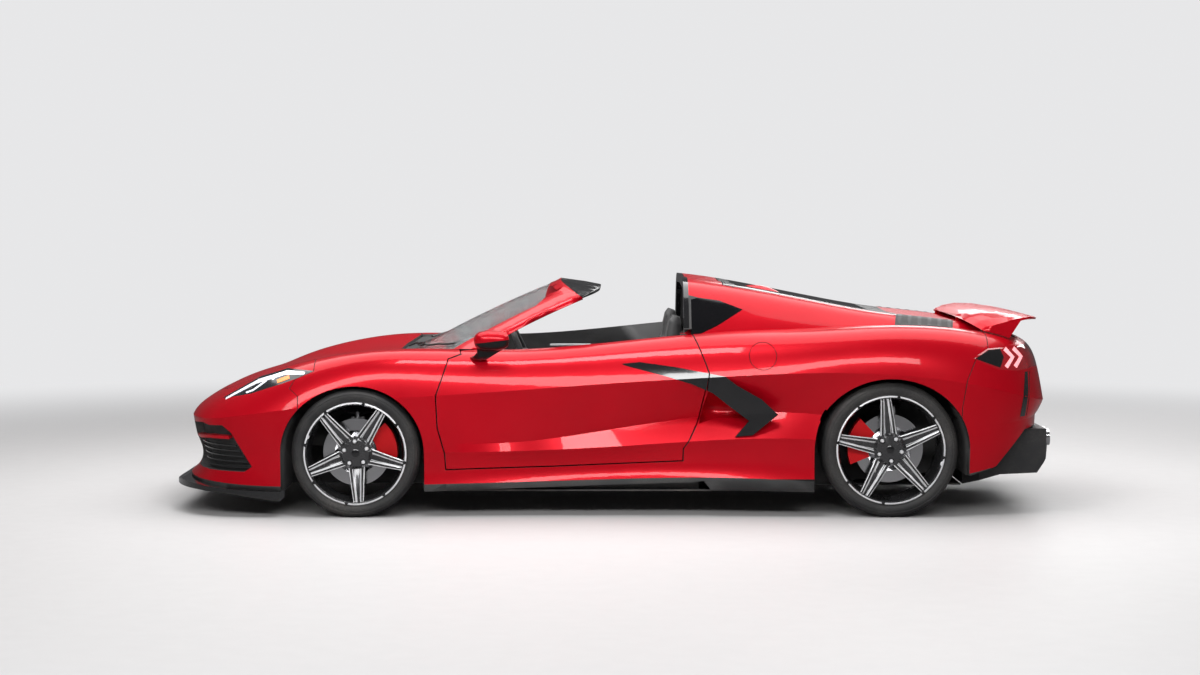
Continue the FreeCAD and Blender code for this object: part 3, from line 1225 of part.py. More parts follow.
# The tub gives way to what is set into it, and the body panels give way to the frame and the running gear
chassis = chassis.cut([nodes[name].Shape for name in ("front_suspension", "rear_suspension")])
keep("chassis_tub", largest(chassis))
keep("undertray", largest(undertray.cut(nodes["front_splitter"].Shape)))
nodes["rear_diffuser"].Shape = largest(nodes["rear_diffuser"].Shape.cut(nodes["chassis_tub"].Shape))
set_in = [
    nodes[name].Shape
    for name in ("chassis_tub", "undertray", "front_suspension", "rear_suspension", "rear_diffuser")
]
for name in ("front_bumper", "rear_bumper", "right_quarter", "left_quarter"):
    nodes[name].Shape = largest(nodes[name].Shape.cut(set_in))
for name in ("front_fenders", "side_skirts"):
    pair = nodes[name].Shape.cut(set_in).Solids
    pair = sorted(pair, key=lambda solid: solid.Volume)[-2:]
    nodes[name].Shape = Part.Compound(pair)

doc.recompute()
for feature in doc.Objects:
    if "Invalid" in feature.State or "Error" in feature.State:
        raise RuntimeError("%s failed to build" % feature.Label)
for node, feature in nodes.items():
    if feature.Shape.isNull() or not feature.Shape.isValid():
        raise RuntimeError("%s has no sound shape" % node)
    if not feature.Shape.Solids:
        raise RuntimeError("%s has no solid" % node)

os.makedirs("parts", exist_ok=True)
for node, feature in nodes.items():
    feature.Shape.exportStep("parts/%s.step" % node)
    print(node, len(feature.Shape.Solids), round(feature.Shape.Volume / 1e6, 2))
print("hood axis", HOOD_AXIS_X, HOOD_AXIS_Z, "hatch axis", HATCH_AXIS_X, HATCH_AXIS_Z)
print("door axis", DOOR_AXIS_X, DOOR_AXIS_Y, "kingpin", KINGPIN, "steering", WHEEL_CENTRE, column_axis)
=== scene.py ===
import bmesh
import bpy
import json
import math
import numpy as np
from mathutils import Matrix, Vector
from mathutils.bvhtree import BVHTree
from mathutils.geometry import delaunay_2d_cdt


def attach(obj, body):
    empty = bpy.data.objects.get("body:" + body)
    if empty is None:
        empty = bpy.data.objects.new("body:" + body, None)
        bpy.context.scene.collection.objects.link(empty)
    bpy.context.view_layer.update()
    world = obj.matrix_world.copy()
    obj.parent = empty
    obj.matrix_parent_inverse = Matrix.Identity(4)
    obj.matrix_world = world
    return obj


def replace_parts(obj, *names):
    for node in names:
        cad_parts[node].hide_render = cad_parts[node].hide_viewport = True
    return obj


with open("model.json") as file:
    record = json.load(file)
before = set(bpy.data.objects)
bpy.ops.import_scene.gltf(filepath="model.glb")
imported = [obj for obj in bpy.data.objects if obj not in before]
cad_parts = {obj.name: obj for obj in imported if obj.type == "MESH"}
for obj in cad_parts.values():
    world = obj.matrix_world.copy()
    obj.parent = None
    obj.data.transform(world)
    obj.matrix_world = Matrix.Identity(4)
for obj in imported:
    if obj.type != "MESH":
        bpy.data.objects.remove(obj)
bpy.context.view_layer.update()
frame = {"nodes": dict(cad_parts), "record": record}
NODES = frame["nodes"]
BODY_OF = {node: body for body, nodes in frame["record"]["behaviour"]["bodies"].items() for node in nodes}

# The car stands on z = 0 with its nose to -X and its left side to -Y, in metres.
# For each end: axle x, tyre radius (also the axle's height), track, tyre width, rim radius, turn of the first spoke
WHEELS = {"front": (-1.330, 0.327, 1.648, 0.245, 0.257, 176), "rear": (1.393, 0.3455, 1.586, 0.305, 0.272, 354)}
REAR_AXLE = WHEELS["rear"][0]
HUB_FACE = 0.866
SIDES = (("left", -1), ("right", 1))
BOX_FACES = [(0, 1, 2, 3), (7, 6, 5, 4), (0, 4, 5, 1), (1, 5, 6, 2), (2, 6, 7, 3), (3, 7, 4, 0)]


# Camera at the height of a standing photographer, square to the car's left side
def set_camera():
    lens = bpy.data.cameras.new("camera")
    lens.sensor_width = 36.0
    lens.lens = 71.55
    lens.clip_end = 200.0
    camera = bpy.data.objects.new("camera", lens)
    bpy.context.collection.objects.link(camera)
    camera.location = (-0.085, -13.0, 1.6)
    camera.rotation_euler = (math.radians(90 - 3.232), 0, 0)
    bpy.context.scene.camera = camera


set_camera()

# Node helpers
COLOR, FLOAT = "NodeSocketColor", "NodeSocketFloat"
GEOMETRY, MATERIAL = "NodeSocketGeometry", "NodeSocketMaterial"
GREY = (0.5, 0.5, 0.5, 1.0)


def fill(tree, made, inputs):
    # Links a socket to each named input, or sets a plain value on it
    for key, value in inputs.items():
        if isinstance(value, bpy.types.NodeSocket):
            tree.links.new(value, made.inputs[key])
        else:
            made.inputs[key].default_value = value


def add(tree, kind, inputs=None, **settings):
    made = tree.nodes.new(kind)
    for key, value in settings.items():
        setattr(made, key, value)
    fill(tree, made, inputs or {})
    return made


def use_group(tree, group, inputs):
    return add(tree, "ShaderNodeGroup", inputs, node_tree=group).outputs


def compute(tree, operation, *values, **settings):
    return add(tree, "ShaderNodeMath", dict(enumerate(values)), operation=operation, **settings).outputs[0]


def vectors(tree, operation, inputs, output=0):
    return add(tree, "ShaderNodeVectorMath", inputs, operation=operation).outputs[output]


def mix_colours(tree, share, first, second, blend="MIX"):
    inputs = {"Factor": share, 6: first, 7: second}
    return add(tree, "ShaderNodeMix", inputs, data_type="RGBA", blend_type=blend).outputs[2]


def noise(tree, place, scale, detail):
    return add(tree, "ShaderNodeTexNoise", {"Vector": place, "Scale": scale, "Detail": detail}).outputs["Fac"]


def object_place(tree):
    return add(tree, "ShaderNodeTexCoord").outputs["Object"]


def ramp(tree, factor, stops):
    made = add(tree, "ShaderNodeValToRGB", {"Fac": factor})
    elements = made.color_ramp.elements
    for element, (place, tone) in zip(elements, stops):
        element.position = place
        element.color = (tone, tone, tone, 1)
    return made.outputs["Color"]


def socket_kind(value):
    if isinstance(value, str):
        return value
    if isinstance(value, int):
        return "NodeSocketInt"
    if isinstance(value, float):
        return FLOAT
    return "NodeSocketVector" if len(value) == 3 else COLOR


def open_group(name, inputs, outputs, kind="ShaderNodeTree"):
    # A node group; each input comes with its default value, or with its kind where it has none
    tree = bpy.data.node_groups.new(name, kind)
    for label, value in inputs.items():
        made = tree.interface.new_socket(label, in_out="INPUT", socket_type=socket_kind(value))
        if not isinstance(value, str):
            made.default_value = value
    for label, socket in outputs.items():
        tree.interface.new_socket(label, in_out="OUTPUT", socket_type=socket)
    return tree, tree.nodes.new("NodeGroupInput").outputs, tree.nodes.new("NodeGroupOutput")


def make_dust_group():
    # Faint road film: a pale cast in large soft patches with fine specks in them
    tree, given, out = open_group(
        "road_film",
        {"Color": GREY, "Roughness": 0.4, "Film Color": (0.3, 0.27, 0.24, 1.0), "Amount": 0.1, "Scale": 6.0},
        {"Color": COLOR, "Roughness": FLOAT},
    )
    place = object_place(tree)
    patches = ramp(tree, noise(tree, place, given["Scale"], 5.0), [(0.38, 0.0), (0.72, 1.0)])
    specks = ramp(tree, noise(tree, place, 140.0, 2.0), [(0.42, 0.35), (0.66, 1.0)])
    share = compute(tree, "MULTIPLY", compute(tree, "MULTIPLY", patches, specks), given["Amount"])
    fill(tree, out, {
        "Color": mix_colours(tree, share, given["Color"], given["Film Color"]),
        "Roughness": compute(tree, "MULTIPLY_ADD", share, 0.55, given["Roughness"], use_clamp=True),
    })
    return tree


def make_grain_group():
    # Fine grain of moulded plastic and cast surfaces
    tree, given, out = open_group(
        "fine_grain", {"Color": GREY, "Scale": 900.0, "Contrast": 0.15}, {"Color": COLOR, "Height": FLOAT}
    )
    place = object_place(tree)
    cloud = compute(tree, "SUBTRACT", noise(tree, place, 9.0, 4.0), 0.5)
    gain = compute(tree, "MULTIPLY_ADD", cloud, given["Contrast"], 1.0)
    fill(tree, out, {
        "Color": vectors(tree, "SCALE", {0: given["Color"], "Scale": gain}),
        "Height": noise(tree, place, given["Scale"], 3.0),
    })
    return tree


def make_hide_group():
    # Leather: pebbled cells with creases between them, darkened as painted shade, and a slow change of tone
    tree, given, out = open_group(
        "hide_grain", {"Color": GREY, "Scale": 420.0}, {"Color": COLOR, "Height": FLOAT, "Roughness": FLOAT}
    )
    place = object_place(tree)
    warp = add(tree, "ShaderNodeTexNoise", {"Vector": place, "Scale": 60.0, "Detail": 2.0}).outputs["Color"]
    bent = add(tree, "ShaderNodeMix", {"Factor": 0.02, 4: place, 5: warp}, data_type="VECTOR").outputs[1]
    cells = add(
        tree, "ShaderNodeTexVoronoi", {"Vector": bent, "Scale": given["Scale"]}, feature="DISTANCE_TO_EDGE"
    ).outputs["Distance"]
    slow = noise(tree, place, 11.0, 4.0)
    # Darkening in the creases between the cells: painted shade
    creases = ramp(tree, cells, [(0.0, 0.72), (0.14, 1.0)])
    shade = mix_colours(tree, 1.0, ramp(tree, slow, [(0.3, 0.78), (0.7, 1.12)]), creases, "MULTIPLY")
    fill(tree, out, {
        "Color": mix_colours(tree, 1.0, given["Color"], shade, "MULTIPLY"),
        "Height": ramp(tree, cells, [(0.0, 0.0), (0.16, 1.0)]),
        "Roughness": ramp(tree, slow, [(0.3, 0.42), (0.7, 0.6)]),
    })
    return tree


def make_flake_group():
    # Metal flake under a clear coat: tiny cells of slightly different tone, and long soft waves in the film
    tree, given, out = open_group(
        "metal_flake", {"Color": GREY, "Deep Color": GREY, "Scale": 1500.0},
        {"Color": COLOR, "Roughness": FLOAT, "Height": FLOAT},
    )
    place = object_place(tree)
    flakes = add(tree, "ShaderNodeTexVoronoi", {"Vector": place, "Scale": given["Scale"]}).outputs["Color"]
    bright = ramp(tree, flakes, [(0.25, 0.0), (0.9, 1.0)])
    drift = ramp(tree, noise(tree, place, 2.2, 2.0), [(0.35, 0.62), (0.65, 0.86)])
    share = compute(tree, "MULTIPLY_ADD", bright, 0.28, drift, use_clamp=True)
    fill(tree, out, {
        "Color": mix_colours(tree, share, given["Deep Color"], given["Color"]),
        "Roughness": ramp(tree, flakes, [(0.0, 0.26), (1.0, 0.36)]),
        "Height": noise(tree, place, 90.0, 1.0),
    })
    return tree


def make_mask_group():
    # White where a point lies beyond both of two planes; the sides of the car are treated alike
    tree, given, out = open_group(
        "two_planes",
        {"First": (1.0, 0.0, 0.0), "First Reach": 0.0, "Second": (1.0, 0.0, 0.0), "Second Reach": -99.0},
        {"Mask": FLOAT},
    )
    parts = add(tree, "ShaderNodeSeparateXYZ", {0: object_place(tree)}).outputs
    aside = compute(tree, "ABSOLUTE", parts["Y"])
    folded = add(tree, "ShaderNodeCombineXYZ", {"X": parts["X"], "Y": aside, "Z": parts["Z"]}).outputs[0]
    beyond = [
        compute(
            tree, "GREATER_THAN", vectors(tree, "DOT_PRODUCT", {0: folded, 1: given[name]}, "Value"),
            given[name + " Reach"],
        ) for name in ("First", "Second")
    ]
    fill(tree, out, {"Mask": compute(tree, "MULTIPLY", *beyond)})
    return tree


MASK = make_mask_group()
DUST = make_dust_group()
GRAIN = make_grain_group()
HIDE = make_hide_group()
FLAKE = make_flake_group()


# Materials
def new_material(name):
    material = bpy.data.materials.new(name)
    material.use_nodes = True
    tree = material.node_tree
    return material, tree, tree.nodes["Principled BSDF"]


def filmed(tree, shader, colour, roughness, amount, values):
    # Road film over the body colour, then the shader's plain values
    dusty = use_group(tree, DUST, {"Color": colour, "Roughness": roughness, "Amount": amount})
    fill(tree, shader, {"Base Color": dusty["Color"], "Roughness": dusty["Roughness"], **values})
    return dusty


def bump(tree, shader, height, strength, distance=0.0006):
    relief = add(tree, "ShaderNodeBump", {"Height": height, "Strength": strength, "Distance": distance})
    fill(tree, shader, {"Normal": relief.outputs["Normal"]})


def paint(name, colour, deep, metallic, coat=0.32, black_beyond=None):
    # Body paint; black_beyond gives two planes past which the same panel is finished in gloss black
    material, tree, shader = new_material(name)
    flake = use_group(tree, FLAKE, {"Color": colour, "Deep Color": deep})
    body = flake["Color"]
    if black_beyond:
        first, first_reach, second, second_reach = black_beyond
        mask = use_group(tree, MASK, {
            "First": first, "First Reach": first_reach, "Second": second, "Second Reach": second_reach,
        })
        body = mix_colours(tree, mask[0], body, (0.012, 0.012, 0.013, 1))
    filmed(tree, shader, body, flake["Roughness"], 0.008, {
        "Metallic": metallic, "Coat Weight": coat, "Coat Roughness": 0.03, "Specular IOR Level": 0.12,
    })
    bump(tree, shader, flake["Height"], 0.012, 0.0005)
    return material


def moulded(name, colour, roughness, grain=900.0, strength=0.12, film=0.12, metallic=0.0, coat=0.0):
    material, tree, shader = new_material(name)
    body = use_group(tree, GRAIN, {"Color": colour, "Scale": grain})
    filmed(tree, shader, body["Color"], roughness, film, {
        "Metallic": metallic, "Coat Weight": coat, "Coat Roughness": 0.04,
    })
    bump(tree, shader, body["Height"], strength)
    return material


def hide(name, colour, scale, strength):
    material, tree, shader = new_material(name)
    skin = use_group(tree, HIDE, {"Color": colour, "Scale": scale})
    fill(tree, shader, {"Base Color": skin["Color"], "Roughness": skin["Roughness"], "Sheen Weight": 0.12})
    bump(tree, shader, skin["Height"], strength)
    return material


def glazing(name, colour, transmission, roughness, alpha):
    material, tree, shader = new_material(name)
    filmed(tree, shader, colour, roughness, 0.008, {"Transmission Weight": transmission, "IOR": 1.45, "Alpha": alpha})
    return material


def glow(name, colour, strength):
    # Lit lamp part: a coloured body that also gives off a little light of its own
    material, tree, shader = new_material(name)
    film = filmed(tree, shader, colour, 0.2, 0.03, {"Emission Strength": strength, "Coat Weight": 0.6})
    fill(tree, shader, {"Emission Color": film["Color"]})
    return material


EVERYWHERE = -9.0
PAINT = ((0.52, 0.0008, 0.010, 1), (0.29, 0.0004, 0.005, 1), 0.30)
RED = paint("body_red", *PAINT)
SKIRT_RED = paint("skirt_red", *PAINT, black_beyond=((0, 0, -1), -0.196, (1, 0, -1), 0.325))
MIRROR_RED = paint("mirror_red", *PAINT, black_beyond=((0.12, 0, -1), -0.978, (0, 1, 0), 0.0))
HEADER_RED = paint("header_red", *PAINT, black_beyond=((0.56, 0, 0.829), 0.8187, (0, -1, 0), EVERYWHERE))
HATCH_RED = paint("hatch_red", *PAINT, black_beyond=((-1, 0, 0), -1.47, (0, -1, 0), EVERYWHERE))
CALIPER_RED = paint("caliper_red", (0.62, 0.008, 0.012, 1), (0.4, 0.004, 0.006, 1), 0.1)
# Name, colour, roughness, scale and strength of the grain, road film, metallic, coat
GLOSS_BLACK = moulded("gloss_black", (0.007, 0.007, 0.008, 1), 0.14, 500.0, 0.02, 0.015, 0.0, 0.8)
SATIN_BLACK = moulded("satin_black", (0.022, 0.022, 0.024, 1), 0.42)
ROUGH_BLACK = moulded("rough_black", (0.03, 0.03, 0.031, 1), 0.62, 700.0, 0.3)
TYRE = moulded("tyre_rubber", (0.015, 0.015, 0.016, 1), 0.62, 500.0, 0.25, 0.16)
ALLOY = moulded("cast_alloy", (0.42, 0.42, 0.43, 1), 0.42, 420.0, 0.25, 0.25, 1.0)
DARK_ALLOY = moulded("wheel_enamel", (0.048, 0.048, 0.051, 1), 0.26, 400.0, 0.03, 0.06, 0.5, 1.0)
STEEL = moulded("bright_steel", (0.62, 0.62, 0.64, 1), 0.16, 700.0, 0.03, 0.05, 1.0)
TRAY = moulded("undertray_plastic", (0.028, 0.028, 0.029, 1), 0.66, 300.0, 0.3, 0.4)
TAIL_RED = moulded("tail_lens", (0.34, 0.004, 0.010, 1), 0.08, 300.0, 0.01, 0.03, 0.0, 1.0)
LAMP_DARK = moulded("lamp_housing", (0.016, 0.017, 0.020, 1), 0.10, 300.0, 0.01, 0.03, 0.0, 0.5)
BELT = moulded("belt_webbing", (0.02, 0.02, 0.021, 1), 0.7, 1800.0, 0.4)
BUCKLE_RED = moulded("buckle", (0.35, 0.01, 0.012, 1), 0.35, 500.0, 0.05)
CARPET = moulded("carpet", (0.018, 0.018, 0.019, 1), 0.9, 1500.0, 0.8)
THREAD = moulded("thread", (0.30, 0.02, 0.025, 1), 0.7, 2000.0, 0.2)
SCREEN = moulded("display_glass", (0.006, 0.007, 0.009, 1), 0.05, 300.0, 0.005, 0.02, 0.0, 1.0)
CHROME = moulded("chrome", (0.78, 0.78, 0.80, 1), 0.08, 600.0, 0.02, 0.04, 1.0)
MACHINED = moulded("machined_alloy", (0.78, 0.78, 0.80, 1), 0.30, 1400.0, 0.05, 0.05, 0.15)
SOFT_TRIM = hide("soft_trim", (0.035, 0.034, 0.035, 1), 520.0, 0.22)
SEAT_HIDE = hide("seat_hide", (0.028, 0.027, 0.028, 1), 420.0, 0.32)
# Name, colour, transmission, roughness, alpha
# The clear glass is part pale white and part opaque: a painted pale reflection laid over the see-through windscreen.
PALE_VEIL_GLASS = glazing("clear_glass_painted_reflection", (0.90, 0.92, 0.93, 1), 0.90, 0.0, 0.62)
SMOKE = glazing("dark_glass", (0.004, 0.004, 0.005, 1), 0.02, 0.05, 1.0)
TAIL_BRIGHT = glow("tail_light", (1.0, 0.36, 0.39, 1), 0.85)
LIGHT_BAR = glow("light_bar", (0.88, 0.92, 1.0, 1), 0.5)
AMBER = glow("amber_lamp", (1.0, 0.26, 0.03, 1), 0.45)

# Finish of the nodes that aren't body red, by the ends of their names
FINISHES = (
    (ROUGH_BLACK, ("front_grilles", "cowl_panel", "_tub")), (SATIN_BLACK, ("diffuser",)), (TRAY, ("undertray",)),
    (GLOSS_BLACK, ("splitter", "hoop_seal", "_blade", "_blades")), (PALE_VEIL_GLASS, ("windscreen",)), (TYRE, ("_tyre",)),
    (SMOKE, ("quarter_windows", "hatch_glass")), (LAMP_DARK, ("headlamps",)), (TAIL_RED, ("tail_lamps",)),
    (SOFT_TRIM, ("dashboard", "console", "steering_wheel")), (ALLOY, ("engine_block", "_suspension", "_knuckle")),
    (CALIPER_RED, ("_caliper", "_calipers")), (STEEL, ("exhaust_tips", "_disc")), (SEAT_HIDE, ("seats",)),
    (DARK_ALLOY, ("_rim",)),
)


def dress(thing, *materials):
    thing.data.materials.clear()
    for material in materials:
        thing.data.materials.append(material)


for name, thing in NODES.items():
    dress(thing, next((material for material, ends in FINISHES if name.endswith(ends)), RED))


# Body surface: the same net of poles as the car's panels, used for the shading of their outer faces
COLUMNS = [
    (-2.268, 0), (-2.268, 0.300), (-2.225, 0.600), (-2.080, 0.830), (-1.800, 0.925), (-1.330, 0.955), (-0.950, 0.938),
    (-0.500, 0.918), (0, 0.918), (0.500, 0.932), (0.950, 0.958), (1.393, 0.972), (1.800, 0.965), (2.100, 0.900),
    (2.250, 0.640), (2.290, 0.320), (2.290, 0),
]
SPINE_X = [-1.150, -1.130, -1.110, -1.090, -1.070, -1.040, -0.900, -0.500, 0, 0.500, 0.800, 1.100, 1.300, 1.450, 1.500,
           1.540, 1.580]
# Rows of the net, each: (column, inset, height) in millimetres
SILL_LIP = [
    (0, -4, 182), (1, -4, 182), (2, 0, 180), (3, 12, 170), (4, 16, 152), (5, 22, 160), (7, 20, 178), (8, 18, 196),
    (9, 20, 208), (10, 22, 190), (11, 25, 165), (12, 22, 215), (13, 85, 290), (14, 95, 300), (16, 100, 305),
]
TUCK = [
    (0, 92, 252), (2, 84, 252), (3, 48, 250), (4, 15, 250), (5, 22, 250), (6, 34, 250), (7, 52, 262),
    (8, 58, 275), (9, 55, 290), (10, 40, 290), (11, 20, 260), (12, 15, 280), (13, 70, 350), (16, 90, 365),
]
CREST = [
    (0, 50, 340), (2, 45, 340), (3, 32, 335), (4, 10, 330), (5, 16, 330), (6, 14, 330), (7, 10, 336),
    (8, 8, 360), (9, 8, 400), (10, 12, 412), (11, 15, 370), (12, 10, 370), (13, 50, 430), (16, 75, 440),
]
VALLEY = [
    (0, 30, 390), (3, 22, 390), (4, 7, 390), (5, 10, 390), (6, 8, 380), (7, 22, 368), (8, 78, 448),
    (9, 128, 522), (10, 84, 545), (11, 10, 470), (12, 8, 450), (13, 34, 492), (14, 58, 498), (16, 62, 498),
]
FLANK = [
    (0, 18, 440), (3, 12, 440), (4, 4, 450), (5, 5, 480), (6, 5, 495), (7, 18, 520), (8, 44, 572),
    (9, 70, 618), (10, 50, 645), (11, 5, 590), (12, 3, 560), (13, 10, 530), (14, 32, 530), (16, 36, 530),
]
WAIST = [
    (0, 8, 485), (3, 8, 490), (4, 2, 535), (5, 0, 600), (6, 0, 620), (7, 0, 648), (8, 0, 688),
    (9, 0, 716), (10, 0, 744), (11, 0, 738), (12, 0, 690), (13, 4, 610), (14, 14, 572), (16, 22, 562),
]
SHOULDER = [
    (0, 20, 515), (2, 25, 522), (3, 55, 560), (4, 45, 655), (5, 6, 742), (6, 14, 738), (7, 22, 752),
    (8, 26, 792), (9, 30, 826), (10, 24, 855), (11, 4, 872), (12, 26, 838), (13, 46, 765), (14, 42, 735),
    (16, 50, 728),
]
CROWN = [
    (0, 75, 560), (2, 85, 580), (3, 150, 628), (4, 150, 752), (5, 58, 866), (6, 74, 862), (7, 76, 842),
    (8, 90, 894), (9, 112, 950), (10, 118, 952), (11, 104, 992), (12, 112, 972), (13, 118, 905), (14, 72, 880),
    (16, 74, 874),
]
# Rows of the top, each: (column, height)
INNER = [
    (0, 698), (2, 702), (3, 738), (4, 800), (5, 848), (6, 852), (7, 842), (8, 890), (9, 950), (10, 940),
    (11, 972), (12, 962), (13, 940), (14, 925), (16, 920),
]
MIDDLE = [
    (0, 764), (2, 766), (4, 790), (5, 802), (6, 808), (7, 820), (8, 870), (9, 940), (10, 940), (11, 950),
    (12, 955), (16, 955),
]
SPINE = [(0, 798), (5, 800), (7, 820), (8, 870), (9, 940), (12, 950), (16, 950)]
# Sections of the deck behind the seats: x from the rear axle, then poles of (half width, height)
GREENHOUSE = [
    (-1.045, [(800, 780), (775, 935), (672, 1085), (575, 1224), (300, 1208), (0, 1203)]),
    (-0.900, [(795, 780), (768, 930), (662, 1070), (566, 1209), (300, 1194), (0, 1189)]),
    (-0.640, [(775, 780), (742, 925), (640, 1045), (552, 1162), (300, 1147), (0, 1142)]),
    (-0.290, [(740, 780), (700, 915), (612, 1005), (535, 1090), (300, 1075), (0, 1070)]),
    (0.030, [(705, 780), (662, 905), (585, 975), (520, 1026), (300, 1012), (0, 1008)]),
    (0.330, [(670, 780), (630, 890), (562, 955), (505, 1000), (300, 990), (0, 987)]),
    (0.560, [(650, 780), (610, 870), (545, 925), (490, 962), (300, 962), (0, 961)]),
]


def along(knots, column, entry):
    return float(np.interp(column, [knot[0] for knot in knots], [knot[entry] for knot in knots])) / 1000


def outward(column):
    if column in (0, len(COLUMNS) - 1):
        return (1.0 if column else -1.0), 0.0
    (x0, y0), (x1, y1) = COLUMNS[column - 1], COLUMNS[column + 1]
    length = math.hypot(x1 - x0, y1 - y0)
    return -(y1 - y0) / length, (x1 - x0) / length


def wrap_row(knots):
    row = []
    for column, (x, y) in enumerate(COLUMNS):
        nx, ny = outward(column)
        depth = along(knots, column, 1)
        row.append((x - nx * depth, max(y - ny * depth, 0), along(knots, column, 2)))
    return row


def top_row(edge, share, knots):
    return [
        (x * (1 - share) + SPINE_X[column] * share, y * (1 - share), along(knots, column, 1))
        for column, (x, y, z) in enumerate(edge)
    ]


def spline_weights(count, degree, steps):
    # Weight of each pole at even steps along a clamped uniform spline
    inner = count - degree - 1
    knots = np.array([0.0] * (degree + 1) + [i + 1.0 for i in range(inner)] + [inner + 1.0] * (degree + 1))
    places = np.linspace(0, knots[-1], steps)
    places[-1] -= 1e-9
    weights = np.zeros((steps, len(knots) - 1))
    for i in range(len(knots) - 1):
        weights[:, i] = (knots[i] <= places) & (places < knots[i + 1])
    for step in range(1, degree + 1):
        lifted = np.zeros((steps, len(knots) - 1 - step))
        for i in range(lifted.shape[1]):
            low = knots[i + step] - knots[i]
            high = knots[i + step + 1] - knots[i + 1]
            if low > 0:
                lifted[:, i] += (places - knots[i]) / low * weights[:, i]
            if high > 0:
                lifted[:, i] += (knots[i + step + 1] - places) / high * weights[:, i + 1]
        weights = lifted
    return weights


class Skin:
    # One strip of the body surface as a fine grid: where it lies and which way it faces
    def __init__(self, rows, degree_across, steps_along, steps_across):
        poles = np.array(rows)
        u = spline_weights(poles.shape[1], 3, steps_along)
        v = spline_weights(poles.shape[0], degree_across, steps_across)
        points = np.einsum("ui,vj,jik->uvk", u, v, poles)
        normals = np.cross(np.gradient(points, axis=0), np.gradient(points, axis=1))
        normals /= np.maximum(np.linalg.norm(normals, axis=2, keepdims=True), 1e-12)
        middle = steps_along // 2, steps_across // 2
        place = points[middle]
        if np.dot(normals[middle], place - np.array([place[0], 0, 0.3])) < 0:
            normals = -normals
        index = np.arange(steps_along * steps_across).reshape(points.shape[:2])
        a, b, c, d = index[:-1, :-1], index[1:, :-1], index[1:, 1:], index[:-1, 1:]
        self.faces = np.concatenate([np.stack(half, -1).reshape(-1, 3) for half in ((a, b, c), (a, c, d))])
        self.points = points.reshape(-1, 3)
        self.normals = normals.reshape(-1, 3)
        self.tree = BVHTree.FromPolygons(self.points.tolist(), self.faces.tolist())

    def distance(self, place):
        return self.tree.find_nearest(place)[3]

    def facing(self, place):
        found, _, face, _ = self.tree.find_nearest(place)
        corners = self.points[self.faces[face]]
        weights = 1 / (np.linalg.norm(corners - np.array(found), axis=1) + 1e-6)
        normal = weights @ self.normals[self.faces[face]]
        return normal / np.linalg.norm(normal)


def body_skins():
    lip, tuck, crest, valley, flank, waist, shoulder, crown = [
        wrap_row(knots) for knots in (SILL_LIP, TUCK, CREST, VALLEY, FLANK, WAIST, SHOULDER, CROWN)
    ]
    tops = [top_row(crown, share, knots) for share, knots in ((0.22, INNER), (0.62, MIDDLE), (1.0, SPINE))]
    places = [REAR_AXLE + x for x, _ in GREENHOUSE]
    levels = zip(*[poles for _, poles in GREENHOUSE])
    house = [[(x, half / 1000, height / 1000) for x, (half, height) in zip(places, level)] for level in levels]
    return [
        Skin([lip, tuck, crest], 2, 260, 16),
        Skin([crest, valley], 1, 260, 4),
        Skin([valley, flank, waist], 2, 260, 16),
        Skin([waist, shoulder, crown, *tops], 3, 260, 90),
        Skin(house, 3, 90, 60),
    ]


SKINS = body_skins()


# Meshes and pieces
def welded(node, name):
    # A copy of a node's mesh whose faces share their corners
    mesh = NODES[node].data.copy()
    mesh.name = name
    work = bmesh.new()
    work.from_mesh(mesh)
    bmesh.ops.remove_doubles(work, verts=work.verts, dist=2e-5)
    bmesh.ops.dissolve_degenerate(work, edges=work.edges, dist=1e-6)
    work.to_mesh(mesh)
    work.free()
    return mesh


def tidy_normals(mesh):
    work = bmesh.new()
    work.from_mesh(mesh)
    bmesh.ops.remove_doubles(work, verts=work.verts, dist=1e-6)
    bmesh.ops.recalc_face_normals(work, faces=work.faces)
    work.to_mesh(mesh)
    work.free()


def smoothed(mesh, angle):
    mesh.shade_smooth()
    mesh.set_sharp_from_angle(angle=math.radians(angle))


def new_mesh(name, points, faces, angle=None, edges=()):
    # With an angle, the mesh is also cleaned and shaded smooth up to that angle
    mesh = bpy.data.meshes.new(name)
    mesh.from_pydata(points, edges, faces)
    if angle is not None:
        tidy_normals(mesh)
        smoothed(mesh, angle)
    return mesh


def turns(count):
    return [2 * math.pi * i / count for i in range(count)]


def lattice(rows, count, loop_rows=True, loop_row=True):
    # Quads between rows of count points; the rows may close on the first, and each row on itself
    faces = []
    for i in range(rows if loop_rows else rows - 1):
        after = (i + 1) % rows
        for k in range(count if loop_row else count - 1):
            beside = (k + 1) % count
            faces.append((i * count + k, i * count + beside, after * count + beside, after * count + k))
    return faces


def loose_piece(name, mesh, *materials):
    piece = bpy.data.objects.new(name, mesh)
    bpy.context.collection.objects.link(piece)
    dress(piece, *materials)
    return piece


def new_piece(name, mesh, body, *materials):
    piece = loose_piece(name, mesh, *materials)
    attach(piece, body)
    return piece


def settled(piece):
    # Turns a piece with its modifiers into one plain mesh
    bpy.context.view_layer.update()
    graph = bpy.context.evaluated_depsgraph_get()
    mesh = bpy.data.meshes.new_from_object(piece.evaluated_get(graph))
    piece.modifiers.clear()
    piece.data = mesh


def zone(piece, slot, test):
    # Gives every face of a piece that passes the test the material in that slot
    for polygon in piece.data.polygons:
        if test(polygon.center, polygon.normal):
            polygon.material_index = slot


def shaped(node, suffix, angle, *materials):
    # A welded, softly shaded copy of a node that takes its place
    mesh = welded(node, node + suffix)
    smoothed(mesh, angle)
    piece = new_piece(node + suffix, mesh, BODY_OF[node], *materials)
    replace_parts(piece, node)
    return piece


# A face this near the body surface belongs to it, and is shaded by it where the two agree this well
ON_SKIN = 0.0012
AGREEMENT = 0.86


